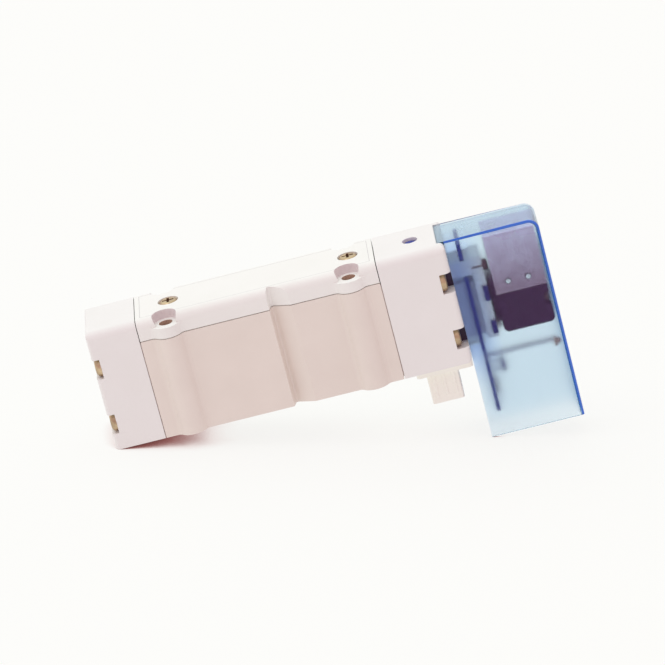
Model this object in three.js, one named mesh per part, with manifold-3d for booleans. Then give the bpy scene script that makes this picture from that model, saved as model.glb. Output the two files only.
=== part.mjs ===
// Narrow base-mounted five-port solenoid valve: spool valve body, end cover, pilot adapter
// and a pilot solenoid under a see-through cover. Millimetres, +Z up. The origin is the
// centre of the mounting face, +X points to the pilot end.
import * as THREE from "three";
import { mergeVertices } from "three/addons/utils/BufferGeometryUtils.js";
import Module from "manifold-3d";

const wasm = await Module();
wasm.setup();

// ---------------------------------------------------------------- driving dimensions
const WIDTH = 20;                 // across the flat side faces
const HEIGHT = 30.5;              // mounting face to top face
const BODY_LENGTH = 59;
const PLATE_THICKNESS = 5;
const SEAM = 0.2;                 // gasket gap between neighbouring castings
const EDGE_RADIUS = 2.3;          // rounding of the long top edges
const END_COVER_LENGTH = 12.3;
const ADAPTER_LENGTH = 16.8;

const HOLE_SPACING = 45;          // mounting holes along the valve
const HOLE_OFFSET = 8.4;          // mounting holes from the centre line
const HOLE_RADIUS = 1.7;          // clears an M3 screw
const COUNTERBORE_RADIUS = 3;
const COLUMN_RADIUS = 3.7;        // half-round column around each mounting hole
const COLUMN_FILLET = 1.5;

const SPOOL_AXIS_Z = 14;
const BODY_BORE = 5.7;
const SPOOL_STROKE = 4.2;
const PORT_PITCH = 7;
const SEAL_STATIONS = [-2.5, -1.5, -0.5, 0.5, 1.5, 2.5];

const COVER_WALL = 0.8;
const COVER_HALF_WIDTH = 6.5;
const COVER_RIGHT = 69.6;
const COVER_BOTTOM = -21.5;
const COVER_TOP = 30.5;
const COVER_LIP = 44.9;           // where the cover's tongue starts on the adapter's top

const ROUND = 24;                 // sides of an ordinary round feature
const SMALL_ROUND = 8;            // sides of a drilled passage or a small pin

// ---------------------------------------------------------------- derived places
const HALF = WIDTH / 2;
const BODY_END = BODY_LENGTH / 2;
const COVER_SEAM = BODY_END + SEAM;
const VALVE_LEFT = -COVER_SEAM - END_COVER_LENGTH;
const ADAPTER_RIGHT = COVER_SEAM + ADAPTER_LENGTH;
const PLATE_BOTTOM = HEIGHT - PLATE_THICKNESS;
const BODY_TOP = PLATE_BOTTOM - SEAM;
const SEAT_Z = HEIGHT - EDGE_RADIUS;  // screw seats lie where the rounding starts
const PAST = 1;                   // how far a cutter runs past the face it opens
const FAR = 99;                   // well outside the whole valve

// ---------------------------------------------------------------- solids
const AXES = {
  x: new THREE.Matrix4().makeBasis(
    new THREE.Vector3(0, 1, 0), new THREE.Vector3(0, 0, 1), new THREE.Vector3(1, 0, 0)),
  y: new THREE.Matrix4().makeBasis(
    new THREE.Vector3(0, 0, 1), new THREE.Vector3(1, 0, 0), new THREE.Vector3(0, 1, 0)),
  z: new THREE.Matrix4(),
};

function signedVolume(positions, triangles) {
  const corner = (i) => new THREE.Vector3().fromArray(positions, 3 * i);
  let volume = 0;
  for (let t = 0; t < triangles.length; t += 3) {
    const a = corner(triangles[t]);
    volume += a.dot(corner(triangles[t + 1]).cross(corner(triangles[t + 2]))) / 6;
  }
  return volume;
}

// A closed three.js geometry as a solid for joins and cuts.
function solid(geometry) {
  geometry.deleteAttribute("normal");
  geometry.deleteAttribute("uv");
  const merged = mergeVertices(geometry, 1e-4);
  const positions = new Float32Array(merged.getAttribute("position").array);
  const kept = [];
  const index = merged.getIndex().array;
  for (let t = 0; t < index.length; t += 3) {
    const [a, b, c] = [index[t], index[t + 1], index[t + 2]];
    if (a !== b && b !== c && c !== a) kept.push(a, b, c);
  }
  if (signedVolume(positions, kept) < 0) kept.reverse();
  return new wasm.Manifold(new wasm.Mesh({
    numProp: 3, vertProperties: positions, triVerts: new Uint32Array(kept),
  }));
}

function box([x0, x1], [y0, y1], [z0, z1]) {
  const geometry = new THREE.BoxGeometry(x1 - x0, y1 - y0, z1 - z0);
  geometry.translate((x0 + x1) / 2, (y0 + y1) / 2, (z0 + z1) / 2);
  return solid(geometry);
}

// A prism of a flat outline. The outline lies across the axis, with the next two axes in
// turn as its first and second coordinate: (y, z) for x, (z, x) for y and (x, y) for z.
function prism(axis, outline, from, to, curveSegments = 6) {
  const shape = Array.isArray(outline)
    ? new THREE.Shape(outline.map(([u, v]) => new THREE.Vector2(u, v))) : outline;
  const geometry = new THREE.ExtrudeGeometry(
    shape, { depth: to - from, bevelEnabled: false, curveSegments });
  geometry.translate(0, 0, from);
  geometry.applyMatrix4(AXES[axis]);
  return solid(geometry);
}

// A cylinder along an axis; centre is given in the two coordinates across that axis.
function rod(axis, [u, v], radius, from, to, sides = ROUND) {
  const geometry = new THREE.CylinderGeometry(radius, radius, to - from, sides);
  geometry.rotateX(Math.PI / 2);
  geometry.translate(u, v, (from + to) / 2);
  geometry.applyMatrix4(AXES[axis]);
  return solid(geometry);
}

// A turned piece: profile points are [place along the axis, radius].
function turned(axis, [u, v], profile, sides = ROUND) {
  const geometry = new THREE.LatheGeometry(
    profile.map(([along, radius]) => new THREE.Vector2(radius, along)), sides);
  geometry.rotateX(Math.PI / 2);
  geometry.translate(u, v, 0);
  geometry.applyMatrix4(AXES[axis]);
  return solid(geometry);
}

function ring(axis, [u, v], along, radius, thickness) {
  const geometry = new THREE.TorusGeometry(radius, thickness, 5, 16);
  geometry.translate(u, v, along);
  geometry.applyMatrix4(AXES[axis]);
  return solid(geometry);
}

class Helix extends THREE.Curve {
  constructor(radius, length, turns) {
    super();
    Object.assign(this, { radius, length, turns });
  }

  getPoint(t, target = new THREE.Vector3()) {
    const angle = 2 * Math.PI * this.turns * t;
    return target.set(
      this.radius * Math.cos(angle), this.radius * Math.sin(angle), this.length * t);
  }
}

// A coil spring that fills the space from one place to another along its axis.
function coil(axis, [u, v], radius, wire, from, to, turns) {
  const section = new THREE.Shape().absarc(0, 0, wire / 2, 0, 2 * Math.PI);
  const length = to - from - wire - 0.1;
  const geometry = new THREE.ExtrudeGeometry(section, {
    extrudePath: new Helix(radius, length, turns), steps: Math.round(9 * turns), curveSegments: 2,
  });
  geometry.translate(u, v, from + wire / 2 + 0.05);
  geometry.applyMatrix4(AXES[axis]);
  return solid(geometry);
}

function union(solids) {
  return solids.reduce((sum, piece) => sum.add(piece));
}

function cut(piece, cutters) {
  return cutters.reduce((rest, cutter) => rest.subtract(cutter), piece);
}

// ---------------------------------------------------------------- the scene graph
const MATERIALS = {
  housing: { color: 0xe6dcda, roughness: 0.55, metalness: 0 },
  body: { color: 0xded0c8, roughness: 0.5, metalness: 0.1 },
  plate: { color: 0xf4f1ec, roughness: 0.5, metalness: 0 },
  rubber: { color: 0x1c1c1d, roughness: 0.8, metalness: 0 },
  steel: { color: 0xb9b6b0, roughness: 0.35, metalness: 1 },
  brass: { color: 0xc79a4b, roughness: 0.35, metalness: 1 },
  aluminium: { color: 0xc4c6c9, roughness: 0.4, metalness: 1 },
  copper: { color: 0x9a4f2a, roughness: 0.4, metalness: 1 },
  ivory: { color: 0xede4d0, roughness: 0.5, metalness: 0 },
  black: { color: 0x17141a, roughness: 0.5, metalness: 0 },
  board: { color: 0x17407a, roughness: 0.5, metalness: 0 },
  blue: { color: 0x2a4fd0, roughness: 0.4, metalness: 0 },
  lamp: { color: 0xe8e2d0, roughness: 0.2, metalness: 0 },
  tinted: { color: 0x9fd4ea, roughness: 0.1, metalness: 0, transparent: true, opacity: 0.45 },
};

const valve = new THREE.Group();

function addPiece(name, material, piece, parent = valve) {
  const { vertProperties, triVerts } = piece.getMesh();
  const geometry = new THREE.BufferGeometry();
  geometry.setAttribute("position", new THREE.BufferAttribute(vertProperties, 3));
  geometry.setIndex(new THREE.BufferAttribute(triVerts, 1));
  geometry.computeVertexNormals();
  const mesh = new THREE.Mesh(geometry, new THREE.MeshStandardMaterial(MATERIALS[material]));
  mesh.name = name;
  parent.add(mesh);
  return mesh;
}

// ---------------------------------------------------------------- outlines
function arcPoints([cx, cy], radius, fromDegrees, toDegrees, steps) {
  return Array.from({ length: steps + 1 }, (_, i) => {
    const angle = THREE.MathUtils.degToRad(fromDegrees + ((toDegrees - fromDegrees) * i) / steps);
    return [cx + radius * Math.cos(angle), cy + radius * Math.sin(angle)];
  });
}

// One half-round column with a hollow fillet on each flank, from left to right.
function columnPoints(centre) {
  const rise = HALF + COLUMN_FILLET - HOLE_OFFSET;
  const reach = Math.sqrt((COLUMN_RADIUS + COLUMN_FILLET) ** 2 - rise ** 2);
  const lean = THREE.MathUtils.radToDeg(Math.atan2(rise, reach));
  const filletY = -HALF - COLUMN_FILLET;
  return [
    ...arcPoints([centre - reach, filletY], COLUMN_FILLET, 90, lean, 3),
    ...arcPoints([centre, -HOLE_OFFSET], COLUMN_RADIUS, 180 + lean, 360 - lean, 8).slice(1),
    ...arcPoints([centre + reach, filletY], COLUMN_FILLET, 180 - lean, 90, 3).slice(1),
  ];
}

const GROOVE_LEFT = 2.3;
const GROOVE_RIGHT = 7.6;
const GROOVE_DEPTH = 2.4;

// The vertical groove: steep on its left, running out slowly to the right.
function groovePoints() {
  const floorY = -HALF + GROOVE_DEPTH;
  const turn = new THREE.QuadraticBezierCurve(
    new THREE.Vector2(GROOVE_LEFT + 0.5, floorY - 0.4),
    new THREE.Vector2(GROOVE_LEFT + 0.7, floorY + 0.35),
    new THREE.Vector2(GROOVE_LEFT + 1.8, floorY - 0.5));
  return [
    [GROOVE_LEFT, -HALF],
    ...turn.getPoints(5).map((p) => [p.x, p.y]),
    [GROOVE_RIGHT, -HALF],
  ];
}

// Plan outline of the body or the plate, the same on both long sides.
function planOutline(withColumns) {
  const near = [
    [-BODY_END, -HALF],
    ...(withColumns ? columnPoints(-HOLE_SPACING / 2) : []),
    ...groovePoints(),
    ...(withColumns ? columnPoints(HOLE_SPACING / 2) : []),
    [BODY_END, -HALF],
  ];
  const far = near.map(([x, y]) => [x, -y]).reverse();
  return [...near, ...far];
}

// End view with both long top edges rounded.
function roundedTopShape(halfWidth, bottom, top, radius) {
  const shape = new THREE.Shape();
  shape.moveTo(-halfWidth, bottom);
  shape.lineTo(halfWidth, bottom);
  shape.lineTo(halfWidth, top - radius);
  shape.absarc(halfWidth - radius, top - radius, radius, 0, Math.PI / 2);
  shape.lineTo(-halfWidth + radius, top);
  shape.absarc(-halfWidth + radius, top - radius, radius, Math.PI / 2, Math.PI);
  return shape;
}

function roundedRectangle([u0, u1], [v0, v1], radius) {
  const shape = new THREE.Shape();
  shape.moveTo(u0 + radius, v0);
  shape.lineTo(u1 - radius, v0);
  shape.absarc(u1 - radius, v0 + radius, radius, -Math.PI / 2, 0);
  shape.lineTo(u1, v1 - radius);
  shape.absarc(u1 - radius, v1 - radius, radius, 0, Math.PI / 2);
  shape.lineTo(u0 + radius, v1);
  shape.absarc(u0 + radius, v1 - radius, radius, Math.PI / 2, Math.PI);
  shape.lineTo(u0, v0 + radius);
  shape.absarc(u0 + radius, v0 + radius, radius, Math.PI, 1.5 * Math.PI);
  return shape;
}

// ---------------------------------------------------------------- fastener places
const SIDES = { near: -1, far: 1 };
const ENDS = { left: -1, right: 1 };
const mountingHoles = Object.values(ENDS).flatMap((end) =>
  Object.values(SIDES).map((side) => [(end * HOLE_SPACING) / 2, side * HOLE_OFFSET]));

const PLATE_SCREWS = { left: [-21.2, 0], right: [23.3, 0] };
const PLATE_SCREW_SEAT = HEIGHT - 1.35;
const END_SCREW_Y = 7.8;
const END_SCREW_LEVELS = { lower: 6.6, upper: 21.1 };
const SCREW_SHANK = 1.2;          // M2.5
const SCREW_HOLE = 1.35;
const SCREW_TIP = BODY_END - 4.3; // how far the end screws reach into the body
const SCREW_HOLE_FLOOR = SCREW_TIP - 0.3;
const PLATE_SCREW_LENGTH = 8.2;
const HEAD_RADIUS = 2.35;
const HEAD_HEIGHT = 1.5;

const endScrewPlaces = Object.entries(SIDES).flatMap(([sideName, side]) =>
  Object.entries(END_SCREW_LEVELS).map(([levelName, z]) => (
    { name: `${sideName}_${levelName}`, y: side * END_SCREW_Y, z, side })));

function endScrewHoles(from, to) {
  return endScrewPlaces.map(({ y, z }) => rod("x", [y, z], SCREW_HOLE, from, to, SMALL_ROUND));
}

// Pan-head screw with a cross recess: the head's seat is at 0 and the shank runs along -Z.
function panScrew(length) {
  const head = turned("z", [0, 0], [
    [-length, 0], [-length, SCREW_SHANK], [0, SCREW_SHANK], [0, HEAD_RADIUS],
    [0.6 * HEAD_HEIGHT, HEAD_RADIUS], [HEAD_HEIGHT, 0.65 * HEAD_RADIUS], [HEAD_HEIGHT, 0],
  ], 16);
  const recess = [0, 1].map((turn) => {
    const [across, along] = turn ? [0.28, 1.35] : [1.35, 0.28];
    return box([-across, across], [-along, along], [0.35 * HEAD_HEIGHT, HEAD_HEIGHT + PAST]);
  });
  return cut(head, recess);
}

// ---------------------------------------------------------------- valve body
const PORTS = [-2, -1, 1, 2].map((n) => n * PORT_PITCH);
const PORT_HALF_LENGTH = 1.9;
const PORT_HALF_WIDTH = 3.4;
const PORT_TOP = 11;
const SUPPLY_PORT = { x: [-2.2, 2.2], y: [3, 5.8] };
const GASKET_DEPTH = 1;
const GASKET_CLEARANCE = 0.1;
const PILOT_FEED = { y: 3.2, z: 22.5, radius: 0.7, start: 0.8, end: BODY_END - 3.5 };

// The moulded ladder around the ports, grown by a clearance where it is a recess.
function baseGasketShape(grow, from, to) {
  const shrink = ([a, b]) => [a + grow, b - grow];
  const outline = roundedRectangle([-17.6 - grow, 17.6 + grow], [-6.8 - grow, 6.8 + grow], 1.6);
  const windows = PORTS.map((x) => [[x - 2.6, x + 2.6], [-5.6, 5.6]]);
  windows.push([[-2.7, 2.7], [2.6, 6.1]]);
  windows.push([[-2.7, 2.7], [-5.9, 1.8]]);
  return cut(prism("z", outline, from, to, 3), windows.map(([xs, ys]) => (
    box(shrink(xs), shrink(ys), [from - PAST, to + PAST]))));
}

// Slots that rise from the mounting face into the spool bore.
function portSlots() {
  const slots = PORTS.map((x) => roundedRectangle(
    [x - PORT_HALF_LENGTH, x + PORT_HALF_LENGTH], [-PORT_HALF_WIDTH, PORT_HALF_WIDTH], 1.2));
  const supply = roundedRectangle(SUPPLY_PORT.x, SUPPLY_PORT.y, 1.1);
  return [...slots, supply].map((outline) => prism("z", outline, -PAST, PORT_TOP, 3));
}

// The pilot's air: up from the supply, along a channel under the plate, out of the end.
function pilotFeedPassage() {
  const { y, z, radius, start, end } = PILOT_FEED;
  const channelFloor = BODY_TOP - 1.2;
  return [
    rod("z", [start, y], radius, 17, channelFloor + radius, SMALL_ROUND),
    box([start - radius, end + radius], [y - radius, y + radius], [channelFloor, BODY_TOP + PAST]),
    rod("z", [end, y], radius, z, channelFloor + radius, SMALL_ROUND),
    rod("x", [y, z], radius, end, BODY_END + PAST, SMALL_ROUND),
  ];
}

function valveBody() {
  return cut(prism("z", planOutline(true), 0, BODY_TOP), [
    rod("x", [0, SPOOL_AXIS_Z], BODY_BORE, -BODY_END - PAST, BODY_END + PAST),
    ...mountingHoles.map((place) => rod("z", place, HOLE_RADIUS, -PAST, HEIGHT, 16)),
    ...Object.values(PLATE_SCREWS).map((place) => (
      rod("z", place, SCREW_HOLE, PLATE_SCREW_SEAT - PLATE_SCREW_LENGTH - 0.3, HEIGHT, SMALL_ROUND))),
    ...endScrewHoles(SCREW_HOLE_FLOOR, BODY_END + PAST),
    ...endScrewHoles(-BODY_END - PAST, -SCREW_HOLE_FLOOR),
    ...portSlots(),
    ...pilotFeedPassage(),
    baseGasketShape(GASKET_CLEARANCE, -PAST, GASKET_DEPTH),
  ]);
}

addPiece("valve_body", "body", valveBody());
addPiece("base_gasket", "rubber", baseGasketShape(0, 0, GASKET_DEPTH));

// ---------------------------------------------------------------- top plate
function topPlate() {
  const slab = prism("x", roundedTopShape(HALF, PLATE_BOTTOM, HEIGHT, EDGE_RADIUS),
    -BODY_END, BODY_END);
  const roof = slab.intersect(prism("z", planOutline(false), PLATE_BOTTOM, HEIGHT + PAST));
  const skirt = prism("z", planOutline(true), PLATE_BOTTOM, SEAT_Z);
  return cut(roof.add(skirt), [
    ...mountingHoles.map((place) => rod("z", place, COUNTERBORE_RADIUS, SEAT_Z, HEIGHT + PAST)),
    ...mountingHoles.map((place) => rod("z", place, HOLE_RADIUS, 0, HEIGHT, 16)),
    ...Object.values(PLATE_SCREWS).flatMap((place) => [
      rod("z", place, SCREW_HOLE, 0, HEIGHT + PAST, SMALL_ROUND),
      rod("z", place, HEAD_RADIUS + 0.2, PLATE_SCREW_SEAT, HEIGHT + PAST),
    ]),
  ]);
}

function topPlateGasket() {
  const outline = roundedRectangle([-28.4, 28.4], [-6.1, 6.1], 1);
  const holes = Object.values(PLATE_SCREWS).map((place) => (
    rod("z", place, SCREW_HOLE, BODY_TOP - PAST, PLATE_BOTTOM + PAST, SMALL_ROUND)));
  return cut(prism("z", outline, BODY_TOP, PLATE_BOTTOM, 2), holes);
}

addPiece("top_plate", "plate", topPlate());
addPiece("top_plate_gasket", "rubber", topPlateGasket());

const plateScrew = panScrew(PLATE_SCREW_LENGTH);
for (const [name, [x, y]] of Object.entries(PLATE_SCREWS)) {
  addPiece(`top_plate_screw_${name}`, "brass", plateScrew).position.set(x, y, PLATE_SCREW_SEAT);
}

// ---------------------------------------------------------------- end cover
const END_BORE = 4.7;
const END_BORE_FLOOR = VALVE_LEFT + 1.3;
const END_SEAT = VALVE_LEFT + 1.8;

// Open-sided pocket for a screw head, entered from the end of the valve.
function headPocket({ y, z, side }, from, to) {
  const inner = y - side * (HEAD_RADIUS + 0.4);
  const outer = side * (HALF + PAST);
  const reach = HEAD_RADIUS + 0.15;
  return box([from, to], [Math.min(inner, outer), Math.max(inner, outer)], [z - reach, z + reach]);
}

// Side view with the two outer corners rounded, cut as an outline across Y.
function roundedEnd([x0, x1], radius, outwards) {
  const [square, round] = outwards < 0 ? [x1, x0] : [x0, x1];
  const inner = round - outwards * radius;
  const upper = arcPoints([inner, HEIGHT - radius], radius, outwards < 0 ? 180 : 0, 90, 5);
  const lower = arcPoints([inner, radius], radius, 270, outwards < 0 ? 180 : 360, 5);
  const around = [[square, 0], ...lower, ...upper, [square, HEIGHT]];
  return prism("y", around.map(([x, z]) => [z, x]), -HALF, HALF);
}

// Block that caps one end of the body, with rounded long top edges and rounded corners.
function endBlock([x0, x1], radius, outwards) {
  const spare = 2 * radius;       // takes the rounding past the face against the body
  const ends = outwards > 0 ? [x0 - spare, x1] : [x0, x1 + spare];
  const plan = roundedRectangle(ends, [-HALF, HALF], radius);
  return prism("x", roundedTopShape(HALF, 0, HEIGHT, EDGE_RADIUS), x0, x1)
    .intersect(prism("z", plan, -PAST, HEIGHT + PAST, 4))
    .intersect(roundedEnd([x0, x1], radius, outwards));
}

function endCover() {
  return cut(endBlock([VALVE_LEFT, -COVER_SEAM], 0.9, -1), [
    rod("x", [0, SPOOL_AXIS_Z], END_BORE, END_BORE_FLOOR, -COVER_SEAM + PAST),
    ...endScrewHoles(VALVE_LEFT - PAST, 0),
    ...endScrewPlaces.map((place) => headPocket(place, VALVE_LEFT - PAST, END_SEAT)),
  ]);
}

// Sheet between the body and an end casting, a little inside their outline.
function endGasket(from, to, bore, withFeed) {
  const inset = 0.4;
  const outline = roundedRectangle([-HALF + inset, HALF - inset], [inset, BODY_TOP - inset], 0.8);
  const cutters = [
    rod("x", [0, SPOOL_AXIS_Z], bore, from - PAST, to + PAST),
    ...endScrewHoles(from - PAST, to + PAST),
  ];
  if (withFeed) {
    const { y, z, radius } = PILOT_FEED;
    cutters.push(rod("x", [y, z], radius, from - PAST, to + PAST, SMALL_ROUND));
  }
  return cut(prism("x", outline, from, to, 2), cutters);
}

addPiece("end_cover", "housing", endCover());
addPiece("end_cover_gasket", "rubber", endGasket(-COVER_SEAM, -BODY_END, END_BORE + 0.3, false));

function addEndScrews(prefix, material, seat, direction) {
  const screw = panScrew(Math.abs(seat) - SCREW_TIP);
  for (const { name, y, z } of endScrewPlaces) {
    const mesh = addPiece(`${prefix}_screw_${name}`, material, screw);
    mesh.position.set(seat, y, z);
    mesh.rotation.y = (direction * Math.PI) / 2;
  }
}

addEndScrews("end_cover", "steel", END_SEAT, -1);

// ---------------------------------------------------------------- pilot adapter
const PISTON_BORE = 6.2;
const PISTON_BORE_END = COVER_SEAM + 11.2;
const ADAPTER_SEAT = ADAPTER_RIGHT - 2.9;
const OVERRIDE = { x: 38.7, y: 0, bore: 1.9, floor: 21 };
const BLOCK_SCREWS = { upper: [-3.6, 21.5], lower: [0, 5] };
const CONNECTOR = { left: 34.7, right: 42.5, halfWidth: 5.5, bottom: -10, flange: -2 };
const SLOT_HALF = 4.5;            // connector opening under the adapter
const SLOT_TOP = 3.2;
const BLOCK_SCREW_HOLE = { radius: 0.9, floor: 41.6 };
const BLEED_RADIUS = 0.5;         // passage from the override to the drive piston
const AIR_PORT_Z = 12;            // pilot output passage to the drive piston
const AIR_PORT_RADIUS = 0.8;

function pilotAdapter() {
  const right = ADAPTER_RIGHT + PAST;
  const tongueHalf = COVER_HALF_WIDTH + 0.1;
  const { radius, floor } = BLOCK_SCREW_HOLE;
  return cut(endBlock([COVER_SEAM, ADAPTER_RIGHT], 1.3, 1), [
    rod("x", [0, SPOOL_AXIS_Z], PISTON_BORE, COVER_SEAM - PAST, PISTON_BORE_END),
    ...endScrewHoles(0, ADAPTER_RIGHT),
    ...endScrewPlaces.map((place) => headPocket(place, ADAPTER_SEAT, right)),
    rod("z", [OVERRIDE.x, OVERRIDE.y], OVERRIDE.bore, OVERRIDE.floor, HEIGHT + PAST),
    rod("z", [OVERRIDE.x, OVERRIDE.y], BLEED_RADIUS, SPOOL_AXIS_Z, OVERRIDE.floor + PAST, SMALL_ROUND),
    rod("x", [PILOT_FEED.y, PILOT_FEED.z], PILOT_FEED.radius, 0, right, SMALL_ROUND),
    rod("x", [0, AIR_PORT_Z], AIR_PORT_RADIUS, PISTON_BORE_END - PAST, right, SMALL_ROUND),
    ...Object.values(BLOCK_SCREWS).map((place) => rod("x", place, radius, floor, right, SMALL_ROUND)),
    box([CONNECTOR.left - 0.2, right], [-SLOT_HALF, SLOT_HALF], [-PAST, SLOT_TOP]),
    box([COVER_LIP - 0.1, right], [-tongueHalf, tongueHalf],
      [COVER_TOP - COVER_WALL - 0.1, HEIGHT + PAST]),
  ]);
}

addPiece("pilot_adapter", "housing", pilotAdapter());
addPiece("adapter_gasket", "rubber", endGasket(BODY_END, COVER_SEAM, PISTON_BORE + 0.1, true));
addEndScrews("adapter", "brass", ADAPTER_SEAT, 1);

// ---------------------------------------------------------------- spool and sleeve
const SLEEVE = { outer: 5.5, bore: 3.5, halfLength: 28.6, groove: 4.9 };
const LAND = 3.4;
const NECK = 2;
const SPOOL_REST = SPOOL_STROKE / 2;
const SPOOL_LANDS = [[-21.5, 5], [-7, 2.2], [7, 2.2], [21.5, 5]];
const DRIVE_PISTON = { left: 35.6, thickness: 5, radius: 6 };
const RETURN_PISTON = { left: -33.4, thickness: 2.8, radius: 4.5 };

function spoolSleeve() {
  const grooves = SEAL_STATIONS.flatMap((station) => {
    const [a, b] = [station * PORT_PITCH - 0.5, station * PORT_PITCH + 0.5];
    return [[a, SLEEVE.outer], [a, SLEEVE.groove], [b, SLEEVE.groove], [b, SLEEVE.outer]];
  });
  const tube = turned("x", [0, SPOOL_AXIS_Z], [
    [-SLEEVE.halfLength, SLEEVE.bore], [-SLEEVE.halfLength, SLEEVE.outer], ...grooves,
    [SLEEVE.halfLength, SLEEVE.outer], [SLEEVE.halfLength, SLEEVE.bore],
    [-SLEEVE.halfLength, SLEEVE.bore],
  ], 16);
  const windows = [-2, -1, 0, 1, 2].flatMap((n) => {
    const span = [n * PORT_PITCH - 0.8, n * PORT_PITCH + 0.8];
    const slot = [-1.3, 1.3];
    const across = [-SLEEVE.outer - PAST, SLEEVE.outer + PAST];
    const level = ([a, b]) => [SPOOL_AXIS_Z + a, SPOOL_AXIS_Z + b];
    return [box(span, slot, level(across)), box(span, across, level(slot))];
  });
  return cut(tube, windows);
}

function spool() {
  const profile = SPOOL_LANDS.flatMap(([centre, width]) => {
    const [a, b] = [SPOOL_REST + centre - width / 2, SPOOL_REST + centre + width / 2];
    return [[a, NECK], [a, LAND], [b, LAND], [b, NECK]];
  });
  const left = RETURN_PISTON.left + RETURN_PISTON.thickness;
  const right = DRIVE_PISTON.left;
  const ends = { start: [[left, 0], [left, NECK]], stop: [[right, NECK], [right, 0]] };
  return turned("x", [0, SPOOL_AXIS_Z], [...ends.start, ...profile, ...ends.stop], 20);
}

// Piston with one groove for a ring seal.
function piston({ left, thickness, radius }) {
  const [a, b] = [left + thickness / 2 - 0.6, left + thickness / 2 + 0.6];
  const right = left + thickness;
  const floor = radius - 0.9;
  return turned("x", [0, SPOOL_AXIS_Z], [
    [left, 0], [left, radius],
    [a, radius], [a, floor], [b, floor], [b, radius],
    [right, radius], [right, 0],
  ]);
}

function pistonSeal({ left, thickness, radius }, bore) {
  const wire = (bore - radius + 0.85) / 2;
  return ring("x", [0, SPOOL_AXIS_Z], left + thickness / 2, bore - wire - 0.06, wire);
}

addPiece("spool_sleeve", "aluminium", spoolSleeve());
SEAL_STATIONS.forEach((station, i) => {
  addPiece(`sleeve_seal_${i + 1}`, "rubber",
    ring("x", [0, SPOOL_AXIS_Z], 0, 5.28, 0.34)).position.x = station * PORT_PITCH;
});
addPiece("spool", "steel", spool());
addPiece("drive_piston", "ivory", piston(DRIVE_PISTON));
addPiece("drive_piston_seal", "rubber", pistonSeal(DRIVE_PISTON, PISTON_BORE));
addPiece("return_piston", "ivory", piston(RETURN_PISTON));
addPiece("return_piston_seal", "rubber", pistonSeal(RETURN_PISTON, END_BORE));
addPiece("return_spring", "steel",
  coil("x", [0, SPOOL_AXIS_Z], 3.2, 0.55, END_BORE_FLOOR, RETURN_PISTON.left, 4));

// ---------------------------------------------------------------- manual override
const BUTTON = { bottom: 24.4, top: HEIGHT - 0.7, radius: 1.75, groove: 26.6 };

function overrideButton() {
  const { bottom, top, radius, groove } = BUTTON;
  const [a, b, floor] = [groove - 0.4, groove + 0.4, radius - 0.55];
  const button = turned("z", [OVERRIDE.x, OVERRIDE.y], [
    [bottom, 0], [bottom, radius],
    [a, radius], [a, floor], [b, floor], [b, radius],
    [top - 0.2, radius], [top, radius - 0.2], [top, 0],
  ]);
  const slot = box([OVERRIDE.x - 1.2, OVERRIDE.x + 1.2], [OVERRIDE.y - 0.25, OVERRIDE.y + 0.25],
    [top - 0.5, top + PAST]);
  return button.subtract(slot);
}

addPiece("override_button", "blue", overrideButton());
addPiece("override_seal", "rubber", ring("z", [OVERRIDE.x, OVERRIDE.y], BUTTON.groove, 1.55, 0.3));
addPiece("override_spring", "steel",
  coil("z", [OVERRIDE.x, OVERRIDE.y], 1.2, 0.35, OVERRIDE.floor, BUTTON.bottom, 4));

// ---------------------------------------------------------------- plug-in connector
const CONTACT_Y = [-3, 0, 3];
const CONTACT_HALF = 0.3;
const CONTACT_X = 38.6;
const SOCKET_TOP = -3.2;
const CONTACT_LEVEL = 2.2;        // height of the contacts' way to the circuit board
const FLANGE = { left: 32.4, right: ADAPTER_RIGHT - 0.2, halfWidth: 7.5 };
const RIB = { pitch: 2.4, width: 0.7, relief: 0.15 };
const BOARD = { left: 49.2, right: 50.2, near: -4.2, far: 5.2, bottom: -16, top: 28 };

function connectorHousing() {
  const { left, right, halfWidth, bottom, flange } = CONNECTOR;
  const plate = prism("z", roundedRectangle([FLANGE.left, FLANGE.right],
    [-FLANGE.halfWidth, FLANGE.halfWidth], 0.8), flange, 0, 3);
  const shell = prism("z", roundedRectangle([left, right], [-halfWidth, halfWidth], 0.5),
    bottom, flange, 3);
  const tongue = box([left, right], [-SLOT_HALF + 0.2, SLOT_HALF - 0.2], [0, 1.2]);
  const ribHalf = halfWidth + RIB.relief;
  const ribs = [-1, 0, 1].map((n) => {
    const x = CONTACT_X + n * RIB.pitch;
    return box([x - RIB.width / 2, x + RIB.width / 2], [-ribHalf, ribHalf], [bottom + 1.6, flange]);
  });
  const [low, high] = [CONTACT_X - 0.45, CONTACT_X + 0.45];
  return cut(union([plate, shell, tongue, ...ribs]), [
    box([left + 1.2, right - 1.2], [-4.3, 4.3], [bottom - PAST, SOCKET_TOP]),
    ...CONTACT_Y.map((y) => box([low, high], [y - 0.45, y + 0.45], [SOCKET_TOP - PAST, 1.2 + PAST])),
  ]);
}

// Bent pin: down into the socket and across to the circuit board.
function connectorContact(y) {
  const across = [y - CONTACT_HALF, y + CONTACT_HALF];
  const [low, high] = [CONTACT_LEVEL - CONTACT_HALF, CONTACT_LEVEL + CONTACT_HALF];
  const upright = box([CONTACT_X - CONTACT_HALF, CONTACT_X + CONTACT_HALF], across, [-8.4, high]);
  return upright.add(box([CONTACT_X - CONTACT_HALF, BOARD.right + 0.5], across, [low, high]));
}

addPiece("connector_housing", "ivory", connectorHousing());
CONTACT_Y.forEach((y, i) => addPiece(`connector_contact_${i + 1}`, "brass", connectorContact(y)));

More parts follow.
